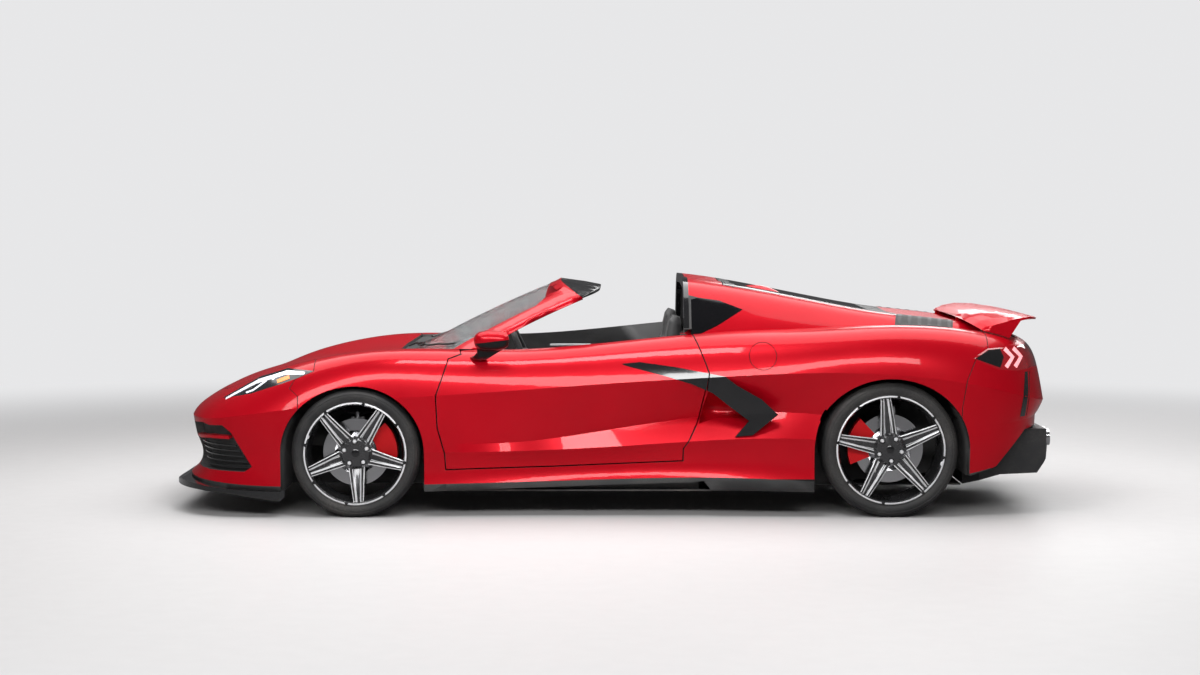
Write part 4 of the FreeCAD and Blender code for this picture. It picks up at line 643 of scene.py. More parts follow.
def polished(node, outer=RED, inner=ROUGH_BLACK):
    # A welded copy of a panel whose outer faces take their shading from the body surface itself
    mesh = welded(node, node + "_panel")
    smoothed(mesh, 32)
    normals = np.zeros((len(mesh.loops), 3), dtype=np.float32)
    mesh.corner_normals.foreach_get("vector", normals.ravel())
    # Faces off the body surface get the inner finish. On arch liners and undersides that dark is their own colour; on
    # the cut edges at the panel gaps, which are red on the car, it is painted shade that darkens the gaps.
    slots = [1] * len(mesh.polygons)
    for polygon in mesh.polygons:
        centre, flat = polygon.center, polygon.normal
        flip = -1 if centre.y < 0 else 1
        probe = Vector((centre.x, centre.y * flip, centre.z))
        skin = min(SKINS, key=lambda item: item.distance(probe))
        if skin.distance(probe) > ON_SKIN:
            continue
        facing = skin.facing(probe)
        agreement = facing[0] * flat.x + facing[1] * flip * flat.y + facing[2] * flat.z
        if agreement > 0:
            slots[polygon.index] = 0
        if agreement < AGREEMENT:
            continue
        for loop in polygon.loop_indices:
            corner = mesh.vertices[mesh.loops[loop].vertex_index].co
            facing = skin.facing(Vector((corner.x, corner.y * flip, corner.z)))
            normals[loop] = (facing[0], facing[1] * flip, facing[2])
    mesh.normals_split_custom_set(normals.tolist())
    piece = new_piece(node + "_panel", mesh, BODY_OF[node], outer, inner)
    mesh.polygons.foreach_set("material_index", slots)
    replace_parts(piece, node)
    return piece


for panel in ("front_bumper", "rear_bumper", "front_fenders", "right_quarter", "left_quarter", "hood"):
    piece = polished(panel)
    if panel.endswith("quarter"):
        # The throat of the intake is painted like the panel, and the post between the windows is black
        zone(piece, 0, lambda place, facing: 0.38 < place.x < 0.68 and 0.42 < place.z < 0.70)
        zone(piece, 1, lambda place, facing: place.x < 0.402 and 0.93 < place.z < 1.115)
    if panel in ("rear_bumper", "right_quarter", "left_quarter"):
        # What lies under the hatch and on the lip around it is black
        zone(piece, 1, lambda place, facing: 0.62 < place.x < 2.0 and abs(place.y) < 0.43
             or 1.47 < place.x < 1.78 and abs(place.y) < 0.57)
# Doors take soft trim on every face off the body surface; on their cut edges in the gaps it is painted shade.
for side, _ in SIDES:
    polished(side + "_door", RED, SOFT_TRIM)
polished("side_skirts", SKIRT_RED)
polished("hatch_frame", HATCH_RED)


# Thin plates that follow the body surface
def met(start, ray):
    # Outermost point of the body surface along a ray, and the way the surface faces there
    hits = [(skin.tree.ray_cast(start, ray)[0], skin) for skin in SKINS]
    found, skin = min((hit for hit in hits if hit[0] is not None), key=lambda hit: hit[0].dot(ray))
    return found, Vector(skin.facing(found))


def on_side(x, z):
    return met(Vector((x, 2.0, z)), Vector((0, -1, 0)))


def on_top(x, y):
    return met(Vector((x, y, 2.0)), Vector((0, 0, -1)))


def patch(name, body, material, outlines, lift=0.0012, thickness=0.004, look=on_side, pitch=0.02):
    # Plates on both sides of the car; each outline is drawn in the plane that look reads
    points, faces = [], []
    for outline in outlines:
        border = []
        for (ax, ay), (bx, by) in zip(outline, outline[1:] + outline[:1]):
            steps = max(1, math.ceil(math.hypot(bx - ax, by - ay) / pitch))
            border += [Vector((ax + (bx - ax) * i / steps, ay + (by - ay) * i / steps)) for i in range(steps)]
        rings = [(i, (i + 1) % len(border)) for i in range(len(border))]
        (low_x, high_x), (low_y, high_y) = [(min(places), max(places)) for places in zip(*outline)]
        inside = [
            Vector((low_x + i * pitch, low_y + j * pitch)) for i in range(1, math.ceil((high_x - low_x) / pitch))
            for j in range(1, math.ceil((high_y - low_y) / pitch))
        ]
        flat, _, cells, _, _, _ = delaunay_2d_cdt(border + inside, rings, [], 1, 1e-6)
        kept = sorted({corner for cell in cells for corner in cell})
        cells = [[kept.index(corner) for corner in cell] for cell in cells]
        placed = [look(flat[corner].x, flat[corner].y) for corner in kept]
        edges = {(a, b): None for cell in cells for a, b in zip(cell, cell[1:] + cell[:1])}
        for flip in (-1, 1):
            start = len(points)
            for place, facing in placed:
                for spot in (place + facing * lift, place + facing * (lift - thickness)):
                    points.append((spot.x, spot.y * flip, spot.z))
            for cell in cells:
                faces.append([start + 2 * i for i in cell])
                faces.append([start + 2 * i + 1 for i in reversed(cell)])
            for a, b in edges:
                if (b, a) not in edges:
                    faces.append([start + 2 * a, start + 2 * b, start + 2 * b + 1, start + 2 * a + 1])
    new_piece(name, new_mesh(name, points, faces, 40), body, material)


def stroke(points, width):
    # Outline of a line of the given width through the points
    left, right = [], []
    for i, (x, y) in enumerate(points):
        ax, ay = points[max(i - 1, 0)]
        bx, by = points[min(i + 1, len(points) - 1)]
        length = math.hypot(bx - ax, by - ay)
        nx, ny = -(by - ay) / length * width / 2, (bx - ax) / length * width / 2
        left.append((x + nx, y + ny))
        right.append((x - nx, y - ny))
    return left + right[::-1]


def oval(x, y, radius, squeeze):
    return [(x + radius * math.cos(turn), y + squeeze * radius * math.sin(turn)) for turn in turns(20)]


# Trees that repeat a shape
def open_array(name, inputs):
    inputs = {"Geometry": GEOMETRY, **inputs, "Material": MATERIAL}
    return open_group(name, inputs, {"Geometry": GEOMETRY}, "GeometryNodeTree")


def close_array(tree, given, out, inputs):
    # One copy at each point, made real and given its material
    copies = add(tree, "GeometryNodeInstanceOnPoints", inputs).outputs[0]
    real = add(tree, "GeometryNodeRealizeInstances", {"Geometry": copies}).outputs[0]
    coated = add(tree, "GeometryNodeSetMaterial", {"Geometry": real, "Material": given["Material"]})
    fill(tree, out, {"Geometry": coated.outputs[0]})
    return tree


def make_round_array():
    # Copies of one shape in a ring about the Y axis, the first turned by Turn from straight up
    tree, given, out = open_array("round_array", {"Count": 5, "Radius": 0.1, "Turn": 0.0, "Centre": (0.0, 0.0, 0.0)})
    line = add(tree, "GeometryNodeMeshLine", {"Count": given["Count"], "Offset": (0, 0, 0)}).outputs[0]
    share = compute(tree, "DIVIDE", add(tree, "GeometryNodeInputIndex").outputs[0], given["Count"])
    angle = compute(tree, "MULTIPLY_ADD", share, 2 * math.pi, given["Turn"])
    ray = {"X": compute(tree, "SINE", angle), "Z": compute(tree, "COSINE", angle)}
    ray = add(tree, "ShaderNodeCombineXYZ", ray).outputs[0]
    reach = vectors(tree, "SCALE", {0: ray, "Scale": given["Radius"]})
    spot = vectors(tree, "ADD", {0: reach, 1: given["Centre"]})
    placed = add(tree, "GeometryNodeSetPosition", {"Geometry": line, "Position": spot}).outputs[0]
    turn = add(tree, "ShaderNodeCombineXYZ", {"Y": angle}).outputs[0]
    return close_array(tree, given, out, {"Points": placed, "Instance": given["Geometry"], "Rotation": turn})


def make_line_array():
    # Copies of one shape in a straight row
    tree, given, out = open_array("line_array", {"Count": 5, "Step": (0.01, 0.0, 0.0)})
    line = add(tree, "GeometryNodeMeshLine", {"Count": given["Count"], "Offset": given["Step"]}).outputs[0]
    return close_array(tree, given, out, {"Points": line, "Instance": given["Geometry"]})


def make_seam_stitches():
    # Short threads laid end to end along a line
    tree, given, out = open_array("seam_stitches", {"Pitch": 0.008, "Thread": 0.0008})
    curve = add(tree, "GeometryNodeMeshToCurve", {"Mesh": given["Geometry"]}).outputs[0]
    even = add(tree, "GeometryNodeResampleCurve", {"Curve": curve, "Length": given["Pitch"]}, mode="LENGTH")
    spots = add(tree, "GeometryNodeCurveToPoints", {"Curve": even.outputs[0]}, mode="EVALUATED").outputs
    length = compute(tree, "MULTIPLY", given["Pitch"], 0.62)
    thread = {"Vertices": 6, "Radius": given["Thread"], "Depth": length}
    thread = add(tree, "GeometryNodeMeshCylinder", thread).outputs[0]
    return close_array(tree, given, out, {"Points": spots[0], "Instance": thread, "Rotation": spots["Rotation"]})


ROUND_ARRAY = make_round_array()
LINE_ARRAY = make_line_array()
SEAM_STITCHES = make_seam_stitches()


def repeat(piece, tree, values):
    # Runs a node tree on a piece with its named inputs set, and settles the result
    values = {"Material": piece.data.materials[0], **values}
    modifier = piece.modifiers.new(tree.name, "NODES")
    modifier.node_group = tree
    for item in tree.interface.items_tree:
        if item.in_out == "INPUT" and item.name in values:
            modifier[item.identifier] = values[item.name]
    settled(piece)
    return piece


def repeated(mesh, body, material, tree, values):
    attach(repeat(loose_piece(mesh.name, mesh, material), tree, values), body)


def stitched(name, body, lines, pitch=0.008):
    points, edges = [], []
    for line in lines:
        edges += [(len(points) + i, len(points) + i + 1) for i in range(len(line) - 1)]
        points += [tuple(p) for p in line]
    repeated(new_mesh(name, points, [], edges=edges), body, THREAD, SEAM_STITCHES, {"Pitch": pitch})


# Wheels: enamelled spokes with bright machined edges, a machined lip with small notches, nuts and a bare cap
def box_mesh(name, depths, section):
    # A straight block: a four-sided section in x and z between two depths in y
    return new_mesh(name, [(x, y, z) for y in depths for x, z in section], BOX_FACES)


# Machined edges lie between the hub and the rim, on sharp corners whose faces look outward; then the bright lip
SPOKE_START, SPOKE_STOP = 0.08, 0.011
SHARP, LOOKS_OUT = 0.64, 0.55
LIP_RADIUS, LIP_DEPTH = 0.006, 0.012


def finished_rim(node, hub, outer, rim, flip):
    def reach(place):
        return math.hypot(place.x - hub[0], place.z - hub[1])

    mesh = welded(node, node + "_wheel")
    work = bmesh.new()
    work.from_mesh(mesh)
    bmesh.ops.dissolve_limit(work, angle_limit=math.radians(2), verts=work.verts, edges=work.edges)
    weight = work.edges.layers.float.new("bevel_weight_edge")
    for edge in work.edges:
        if len(edge.link_faces) != 2:
            continue
        first, second = [face.normal for face in edge.link_faces]
        on_spoke = SPOKE_START < reach((edge.verts[0].co + edge.verts[1].co) / 2) < rim - SPOKE_STOP
        if on_spoke and max(first.y * flip, second.y * flip) > LOOKS_OUT and first.dot(second) < SHARP:
            edge[weight] = 1
    work.to_mesh(mesh)
    work.free()
    smoothed(mesh, 30)
    piece = loose_piece(node + "_wheel", mesh, DARK_ALLOY, MACHINED)
    edge_cut = piece.modifiers.new("machined_edges", "BEVEL")
    edge_cut.limit_method = "WEIGHT"
    edge_cut.width = 0.0042
    edge_cut.segments = 1
    edge_cut.material = 1
    edge_cut.use_clamp_overlap = False
    settled(piece)
    zone(piece, 1, lambda place, facing: abs(reach(place) - rim) < LIP_RADIUS and abs(place.y) > outer - LIP_DEPTH)
    smoothed(piece.data, 30)
    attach(piece, BODY_OF[node])
    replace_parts(piece, node)


# Wheel nut and cap as (radius, distance out), the nut with six sides
NUT = [(0, 0.019), (0.006, 0.0185), (0.0095, 0.015), (0.0108, 0.012), (0.0108, 0.0)]
CAP = [(0, 0.012), (0.014, 0.0115), (0.022, 0.0095), (0.0265, 0.006), (0.028, 0.002), (0.028, -0.012)]
BLOCKS = 72


def wheel_trim(node, flip, axle, radius, track, width, rim, first_spoke):
    body = BODY_OF[node + "_rim"]
    middle, half, deep = track / 2, width / 2, radius - rim
    outer = middle + half
    finished_rim(node + "_rim", (axle, radius), outer, rim, flip)

    def spun(suffix, profile, material, steps=96, close=True):
        # Turns a profile of (radius, distance out along the axle) about the axle
        points = [
            (axle + r * math.sin(turn), flip * out, radius + r * math.cos(turn))
            for turn in turns(steps) for r, out in profile
        ]
        mesh = new_mesh(node + suffix, points, lattice(steps, len(profile), loop_row=close), 40)
        return new_piece(node + suffix, mesh, body, material)

    # Tyre section from the bead over sidewall and shoulder to the grooves of the tread, as (radius, half width)
    section = [
        (rim - 0.002, half - 0.017), (rim + 0.006, half - 0.0065), (rim + 0.010, half - 0.0045),
        (rim + 0.012, half - 0.006), (rim + 0.0135, half - 0.0045), (rim + deep * 0.42, half - 0.0006),
        (rim + deep * 0.52, half - 0.0006), (rim + deep * 0.535, half - 0.0022), (rim + deep * 0.66, half - 0.0035),
        (rim + deep * 0.68, half - 0.002), (radius - 0.012, half - 0.0105), (radius - 0.0095, half - 0.0135),
        (radius - 0.0095, half - 0.0165), (radius - 0.0045, half - 0.0235), (radius - 0.0018, half - 0.034),
        (radius - 0.0006, half * 0.66),
    ]
    for groove in (half * 0.58, half * 0.2):
        section += [
            (radius, groove + 0.0052), (radius - 0.0065, groove + 0.0042), (radius - 0.0065, groove - 0.0042),
            (radius, groove - 0.0052),
        ]
    profile = [(r, middle + y) for r, y in section] + [(r, middle - y) for r, y in reversed(section)]
    profile += [(rim - 0.002, middle - half * 0.3), (rim - 0.002, middle + half * 0.3)]
    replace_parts(spun("_tread", profile, TYRE), node + "_tyre")
    # Shoulder blocks between the outer groove and the sidewall
    low, high, long = -0.004, 0.0012, math.pi * radius / BLOCKS * 0.76
    square = ((-long, low), (long, low), (long, high), (-long, high))
    blocks = box_mesh(node + "_blocks", (half * 0.66, half - 0.026), square)
    repeated(blocks, body, TYRE, ROUND_ARRAY, {
        "Count": BLOCKS, "Radius": radius - 0.0032, "Centre": (axle, flip * middle, radius),
    })
    nut = [(r * math.cos(turn), flip * out, r * math.sin(turn)) for turn in turns(6) for r, out in NUT]
    nuts = new_mesh(node + "_nuts", nut, lattice(6, len(NUT), loop_row=False), 25)
    repeated(nuts, body, MACHINED, ROUND_ARRAY, {
        "Count": 5, "Radius": 0.060, "Turn": math.radians(first_spoke + 36),
        "Centre": (axle, flip * (HUB_FACE + 0.030), radius),
    })
    spun("_cap", [(r, HUB_FACE + 0.034 + out) for r, out in CAP], GLOSS_BLACK, 48, False)
    spun("_lip", [
        (rim - 0.0012, outer - 0.0025), (rim + 0.0048, outer - 0.0058), (rim + 0.0048, outer - 0.0085),
        (rim - 0.0045, outer - 0.0085),
    ], MACHINED, 120)
    wedge = ((-0.010, -0.0045), (0.010, -0.0045), (0.006, 0.0052), (-0.006, 0.0052))
    notches = box_mesh(node + "_notches", (flip * (outer - 0.0068), flip * (outer - 0.0012)), wedge)
    tidy_normals(notches)
    repeated(notches, body, GLOSS_BLACK, ROUND_ARRAY, {
        "Count": 8, "Radius": rim, "Turn": math.radians(first_spoke + 14), "Centre": (axle, 0, radius),
    })


for side, flip in SIDES:
    for end, measures in WHEELS.items():
        wheel_trim("%s_%s" % (side, end), flip, *measures)

# Door mirrors: painted shell over a black foot and casing
for side, _ in SIDES:
    mirror = shaped(side + "_mirror", "_shell", 50, MIRROR_RED, GLOSS_BLACK)
    zone(mirror, 1, lambda place, facing: abs(place.y) < 0.905)

header = shaped("windscreen_frame", "_painted", 40, HEADER_RED, ROUGH_BLACK)
zone(header, 1, lambda place, facing: facing.z < -0.25)
shaped("rear_spoiler", "_painted", 30, RED)

# Headlamps: black housing with a light band, a diagonal bar, three small lenses and an amber side lamp
shaped("headlamps", "_housing", 40, LAMP_DARK)
patch("headlamp_band", "root", LIGHT_BAR, [[
    (-2.012, 0.597), (-1.843, 0.692), (-1.689, 0.741), (-1.590, 0.738), (-1.594, 0.726), (-1.695, 0.722),
    (-1.853, 0.672), (-2.016, 0.588),
]], 0.0016)
patch("headlamp_bar", "root", LIGHT_BAR, [stroke([(-1.90, 0.628), (-1.862, 0.642), (-1.795, 0.690)], 0.007)], 0.0016)
patch("headlamp_lenses", "root", CHROME, [
    oval(-1.885 + 0.062 * i, 0.655 + 0.024 * i, 0.0105, 0.75) for i in range(3)
], 0.0010, pitch=0.006)
patch("side_marker", "root", AMBER, [stroke([(-1.735, 0.688), (-1.672, 0.712)], 0.017)], 0.0018)

# Tail lamps: smoked forward end and two bright arrowheads on each side
shaped("tail_lamps", "_lens", 40, TAIL_RED)
patch("tail_lamp_smoke", "root", GLOSS_BLACK, [[
    (1.822, 0.810), (1.893, 0.851), (1.958, 0.855), (1.975, 0.815), (1.952, 0.762), (1.862, 0.795),
]])
patch("tail_lamp_arrows", "root", TAIL_BRIGHT, [
    stroke([(x, 0.855), (x + 0.041, 0.812), (x, 0.764)], 0.021) for x in (1.985, 2.037)
], 0.0018, pitch=0.008)

# Vents behind the rear wheels
patch("rear_vents", "root", GLOSS_BLACK, [[
    (2.094, 0.735), (2.112, 0.735), (2.108, 0.640), (2.092, 0.509), (2.062, 0.509), (2.080, 0.640),
]])

# Corner intakes: a red fin across the opening and slats behind it
patch("intake_fins", "root", RED, [stroke([(-2.200, 0.384), (-2.10, 0.398), (-1.985, 0.400)], 0.016)], 0.001, 0.030)
patch("intake_slats", "root", GLOSS_BLACK, [
    stroke([(-2.19 + 0.012 * i, 0.355 - 0.026 * i), (-1.955 + 0.021 * i, 0.355 - 0.026 * i)], 0.006) for i in range(5)
], -0.012, 0.010)


# Loose pieces of the cabin, gathered into one object for each body and kind
def slab(centre, size, material, tilt, bevel, swing=0):
    # A block with rounded edges, turned about Y and then Z before it is put in place
    mesh = bpy.data.meshes.new("slab")
    work = bmesh.new()
    bmesh.ops.create_cube(work, size=1.0)
    bmesh.ops.scale(work, vec=size, verts=work.verts)
    offset = min(bevel, min(size) * 0.45)
    bmesh.ops.bevel(work, geom=work.edges[:], offset=offset, segments=3, affect="EDGES", profile=0.5)
    turn = Matrix.Rotation(math.radians(swing), 4, "Z") @ Matrix.Rotation(math.radians(tilt), 4, "Y")
    bmesh.ops.transform(work, matrix=Matrix.Translation(centre) @ turn, verts=work.verts)
    work.to_mesh(mesh)
    work.free()
    smoothed(mesh, 50)
    return loose_piece("slab", mesh, material)


def capped(rows, count):
    # Faces of a closed skin along rows of points, with one over each end
    return lattice(rows, count, False) + [tuple(range(count)), tuple((rows - 1) * count + k for k in range(count))]


def tube(points, radius, material, sides):
    # A round bar through the points
    spine = [Vector(p) for p in points]
    corners = []
    for i, spot in enumerate(spine):
        ahead = (spine[min(i + 1, len(spine) - 1)] - spine[max(i - 1, 0)]).normalized()
        across = ahead.cross(Vector((0.1, 0.2, 1))).normalized()
        up = across.cross(ahead)
        corners += [spot + (across * math.cos(turn) + up * math.sin(turn)) * radius for turn in turns(sides)]
    return loose_piece("tube", new_mesh("tube", corners, capped(len(spine), sides), 50), material)


def loft(rings, material, levels=1):
    # A closed skin through rings of points, softened by subdivision
    mesh = new_mesh("loft", [tuple(p) for ring in rings for p in ring], capped(len(rings), len(rings[0])))
    tidy_normals(mesh)
    mesh.shade_smooth()
    piece = loose_piece("loft", mesh, material)
    if levels:
        rounder = piece.modifiers.new("soft", "SUBSURF")
        rounder.levels = rounder.render_levels = levels
        settled(piece)
    return piece


def row_of(piece, count, step):
    return repeat(piece, LINE_ARRAY, {"Count": count, "Step": step})


def gathered(name, body, pieces):
    # Joins loose pieces into one named object of a body, with their materials
    slots, points, faces, index = {}, [], [], []
    for piece in pieces:
        mesh, base = piece.data, len(points)
        for material in mesh.materials:
            slots.setdefault(material, len(slots))
        points += [vertex.co.copy() for vertex in mesh.vertices]
        faces += [[base + corner for corner in polygon.vertices] for polygon in mesh.polygons]
        index += [slots[mesh.materials[polygon.material_index]] for polygon in mesh.polygons]
        bpy.data.objects.remove(piece)
    mesh = new_mesh(name, points, faces)
    smoothed(mesh, 50)
    whole = new_piece(name, mesh, body, *slots)
    mesh.polygons.foreach_set("material_index", index)
    return whole


# Seats: bucket backs and cushions with raised side bolsters and sewn channels
SEAT_Y = 0.386
# Stations of a seat: x and z of its middle, half width, depth, rise of the bolsters
SEAT_BACK = [
    (0.075, 0.372, 0.150, 0.05, 0.0), (0.100, 0.410, 0.215, 0.10, 0.030), (0.168, 0.600, 0.232, 0.11, 0.052),
    (0.222, 0.750, 0.220, 0.10, 0.046), (0.248, 0.815, 0.180, 0.09, 0.022), (0.262, 0.862, 0.128, 0.085, 0.006),
    (0.270, 0.930, 0.108, 0.080, 0.004), (0.280, 0.985, 0.096, 0.068, 0.0), (0.300, 1.012, 0.060, 0.040, 0.0),
]
SEAT_PAD = [
    (-0.432, 0.300, 0.170, 0.06, 0.0), (-0.424, 0.345, 0.212, 0.12, 0.012), (-0.380, 0.368, 0.226, 0.14, 0.030),
    (-0.250, 0.356, 0.232, 0.14, 0.044), (-0.080, 0.330, 0.232, 0.12, 0.048), (0.040, 0.332, 0.224, 0.11, 0.040),
    (0.085, 0.352, 0.190, 0.10, 0.020),
]
# Places across a seat's face, of which BOLSTER_FOOT is the seam and BOLSTER_TOP the crest of the side bolster
BOLSTER_FOOT, BOLSTER_TOP = 0.56, 0.84
ACROSS = (-1.0, -0.95, -0.84, -0.68, -0.56, -0.3, 0.0, 0.3, 0.56, 0.68, 0.84, 0.95, 1.0)


def seat_rings(table, centre, facing, steps, channels):
    spread = np.linspace(0, 1, len(table))
    rings, seams = [], ([], [])
    for step in range(steps + 1):
        share = step / steps
        x, z, half, deep, bolster = [float(np.interp(share, spread, column)) for column in zip(*table)]
        sew = 0.006 * (abs(math.sin(math.pi * share * channels)) ** 0.5) if 0.14 < share < 0.62 else 0.003

        def spot(across, rise):
            return x + facing[0] * rise, centre + half * across, z + facing[1] * rise

        ring = []
        for across in ACROSS:
            side = abs(across)
            if side <= BOLSTER_TOP:
                rise = bolster * min(max((side - BOLSTER_FOOT) / 0.28, 0), 1)
            else:
                rise = bolster * (1.6 - side) / 0.76
            rise += sew if side < 0.6 else 0.0
            rise -= 0.022 * max(side - BOLSTER_TOP, 0) / 0.16
            if side == BOLSTER_FOOT:
                rise -= 0.004
                if share < 0.8:
                    seams[across > 0].append(spot(across, rise + 0.0015))
            ring.append(spot(across, rise))
        rings.append(ring + [spot(across, -deep) for across in (0.96, 0.5, 0.0, -0.5, -0.96)])
    return rings, seams


seat_parts, seat_seams, shells = [], [], []
for _, flip in SIDES:
    y = flip * SEAT_Y
    for table, facing, steps, channels in ((SEAT_BACK, (-0.943, 0.333), 44, 11), (SEAT_PAD, (-0.08, 0.997), 32, 7)):
        rings, seams = seat_rings(table, y, facing, steps, channels)
        seat_parts.append(loft(rings, SEAT_HIDE))
        seat_seams += seams
    shells += [
        slab((-0.16, y, 0.225), (0.50, 0.40, 0.09), ROUGH_BLACK, 0, 0.02),
        slab((-0.16, y - 0.15, 0.186), (0.56, 0.035, 0.02), STEEL, 0, 0.004),
        slab((-0.16, y + 0.15, 0.186), (0.56, 0.035, 0.02), STEEL, 0, 0.004),
        slab((0.266, y, 0.838), (0.012, 0.10, 0.030), SATIN_BLACK, -19, 0.006),
        tube([(0.345, flip * 0.585, 0.93), (0.25, flip * 0.60, 0.66), (0.12, flip * 0.612, 0.36)], 0.004, BELT, 8),
        slab((0.232, flip * 0.602, 0.645), (0.003, 0.046, 0.62), BELT, 21, 0.001),
        slab((0.02, flip * 0.16, 0.365), (0.05, 0.022, 0.10), BUCKLE_RED, -20, 0.006),
        slab((-0.66, y, 0.176), (0.40, 0.42, 0.012), CARPET, 0, 0.004),
    ]
covers = gathered("seat_covers", "root", seat_parts)
covers.data.shade_smooth()
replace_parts(covers, "seats")
stitched("seat_stitches", "root", seat_seams)
gathered("seat_frames", "root", shells)

# Dashboard: cluster hood and screen, the tilted centre screen, air vents, the ridge of buttons and the console
cabin = [
    slab((-0.742, -SEAT_Y, 0.842), (0.20, 0.37, 0.060), SOFT_TRIM, 6, 0.022),
    slab((-0.660, -SEAT_Y, 0.816), (0.016, 0.31, 0.105), SCREEN, -16, 0.006),
    slab((-0.655, -0.085, 0.770), (0.016, 0.235, 0.150), SCREEN, -22, 0.007, 12),
    slab((-0.664, -0.085, 0.768), (0.016, 0.260, 0.172), GLOSS_BLACK, -22, 0.010, 12),
    slab((-0.800, 0.36, 0.806), (0.26, 0.58, 0.030), SOFT_TRIM, 3, 0.012),
    slab((-0.655, 0.40, 0.742), (0.030, 0.50, 0.020), SATIN_BLACK, 0, 0.006),
    slab((-0.664, 0.40, 0.716), (0.040, 0.50, 0.010), STEEL, 0, 0.003),
    slab((-0.36, 0.100, 0.636), (0.66, 0.044, 0.052), SOFT_TRIM, 14, 0.014),
    slab((-0.40, -0.020, 0.604), (0.30, 0.150, 0.018), GLOSS_BLACK, 14, 0.006),
    slab((0.12, 0.0, 0.545), (0.34, 0.21, 0.045), SOFT_TRIM, -2, 0.016),
    slab((-0.44, -0.035, 0.628), (0.05, 0.040, 0.014), STEEL, 14, 0.005),
    slab((-0.36, -0.035, 0.609), (0.05, 0.040, 0.014), STEEL, 14, 0.005),
    row_of(slab((-0.60, 0.100, 0.7235), (0.020, 0.026, 0.006), SATIN_BLACK, 14, 0.002), 14, (0.0405, 0, -0.0101)),
    slab((-0.888, -0.345, 0.300), (0.014, 0.055, 0.115), STEEL, -32, 0.005),
    slab((-0.872, -0.445, 0.320), (0.014, 0.085, 0.070), STEEL, -32, 0.005),
    slab((-0.905, -0.560, 0.270), (0.014, 0.060, 0.150), SATIN_BLACK, -38, 0.005),
]
for x, y, z in ((-0.662, -0.610, 0.765), (-0.662, 0.610, 0.742), (-0.662, -0.235, 0.700), (-0.662, 0.075, 0.700)):
    cabin.append(slab((x - 0.006, y, z), (0.03, 0.115, 0.052), GLOSS_BLACK, -8, 0.008))
    cabin.append(row_of(slab((x + 0.010, y, z - 0.018), (0.004, 0.10, 0.003), STEEL, 20, 0.001), 5, (0, 0, 0.009)))
# Rims of the cup holders, as (radius, height)
CUP = [(0.030, 0.0), (0.036, 0.0), (0.040, 0.004), (0.041, 0.010), (0.037, 0.012), (0.033, 0.008), (0.031, -0.02)]
for x in (-0.19, -0.10):
    base = 0.553 - 0.25 * (x + 0.15)
    cup = [(x + r * math.cos(turn), -0.03 + r * math.sin(turn), base + h) for turn in turns(32) for r, h in CUP]
    cabin.append(loose_piece("cup_ring", new_mesh("cup_ring", cup, lattice(32, len(CUP), loop_row=False)), STEEL))
gathered("cabin_fittings", "root", cabin)
stitched("dash_stitches", "root", [
    [(-0.700, y / 100, 0.8235) for y in range(8, 65, 4)], [(-0.655, 0.124, 0.7245), (-0.04, 0.124, 0.5715)],
    [(-0.655, 0.078, 0.7245), (-0.04, 0.078, 0.5715)],
])

# Steering wheel: a rounder rim wrapped in hide, a padded hub and satin spokes
COLUMN_TILT = 24
HELM_RADIUS = 0.176
HELM_STEPS = 72
tilt = math.radians(COLUMN_TILT)
hub = Vector((-0.478, -SEAT_Y, 0.782))
out_axis = Vector((math.cos(tilt), 0, math.sin(tilt)))
up_axis = Vector((-math.sin(tilt), 0, math.cos(tilt)))
side_axis = Vector((0, 1, 0))


def helm_ray(angle):
    return side_axis * math.sin(angle) + up_axis * math.cos(angle)


rings = []
round_again = [2 * math.pi * step / HELM_STEPS for step in range(HELM_STEPS + 1)]
for angle in round_again:
    ray = helm_ray(angle)
    thick = 0.0150 + 0.0014 * max(0, math.cos(2 * (angle - math.pi / 2)))
    rings.append([
        hub + ray * HELM_RADIUS + (ray * math.cos(turn) + out_axis * math.sin(turn)) * thick for turn in turns(14)
    ])
helm = [
    loft(rings, SOFT_TRIM, 0), slab(hub + out_axis * 0.004, (0.052, 0.118, 0.100), SOFT_TRIM, -COLUMN_TILT, 0.024),
]
for angle, radius in ((90, 0.01224), (270, 0.01224), (172, 0.00816), (188, 0.00816)):
    ray = helm_ray(math.radians(angle))
    start, end = hub + ray * 0.05, hub + ray * (HELM_RADIUS - 0.008)
    helm.append(tube([start, start.lerp(end, 0.5) - out_axis * 0.004, end], radius, SATIN_BLACK, 12))
for flip in (-1, 1):
    pad = hub + side_axis * flip * 0.092 + out_axis * 0.010
    helm.append(slab(pad, (0.010, 0.040, 0.030), GLOSS_BLACK, -COLUMN_TILT, 0.004))
gathered("steering_wheel_cover", "steering_wheel", helm)
stitched("steering_wheel_stitches", "steering_wheel", [
    [hub + helm_ray(angle) * (HELM_RADIUS - 0.0152) for angle in round_again]
], 0.006)

# Door cards: armrest, pull handle, latch, the strip on the inner top edge and a stitched seam
for side, flip in SIDES:
    body = side + "_door"
    gathered(side + "_door_card", body, [
        slab((-0.22, flip * 0.716, 0.648), (0.62, 0.075, 0.055), SOFT_TRIM, -4, 0.020),
        slab((-0.30, flip * 0.690, 0.700), (0.20, 0.016, 0.022), STEEL, -4, 0.006),
        slab((-0.50, flip * 0.700, 0.715), (0.055, 0.020, 0.016), CHROME, -20, 0.006),
        slab((-0.255, flip * 0.700, 0.784), (0.235, 0.012, 0.014), MACHINED, 0, 0.004),
    ])
    stitched(side + "_door_stitches", body, [[(-0.52 + 0.06 * i, flip * 0.6795, 0.640 + 0.004 * i) for i in range(11)]])

# Wipers parked at the foot of the windscreen
screen = welded("windscreen", "screen_probe")
screen_tree = BVHTree.FromPolygons([v.co for v in screen.vertices], [list(f.vertices) for f in screen.polygons])
bpy.data.meshes.remove(screen)


def on_screen(x, y):
    # A point just off the glass, or None beside it
    found = screen_tree.ray_cast(Vector((x, y, 2.0)), Vector((0, 0, -1)))[0]
    return found + Vector((-0.44, 0, 0.90)).normalized() * 0.012 if found else None


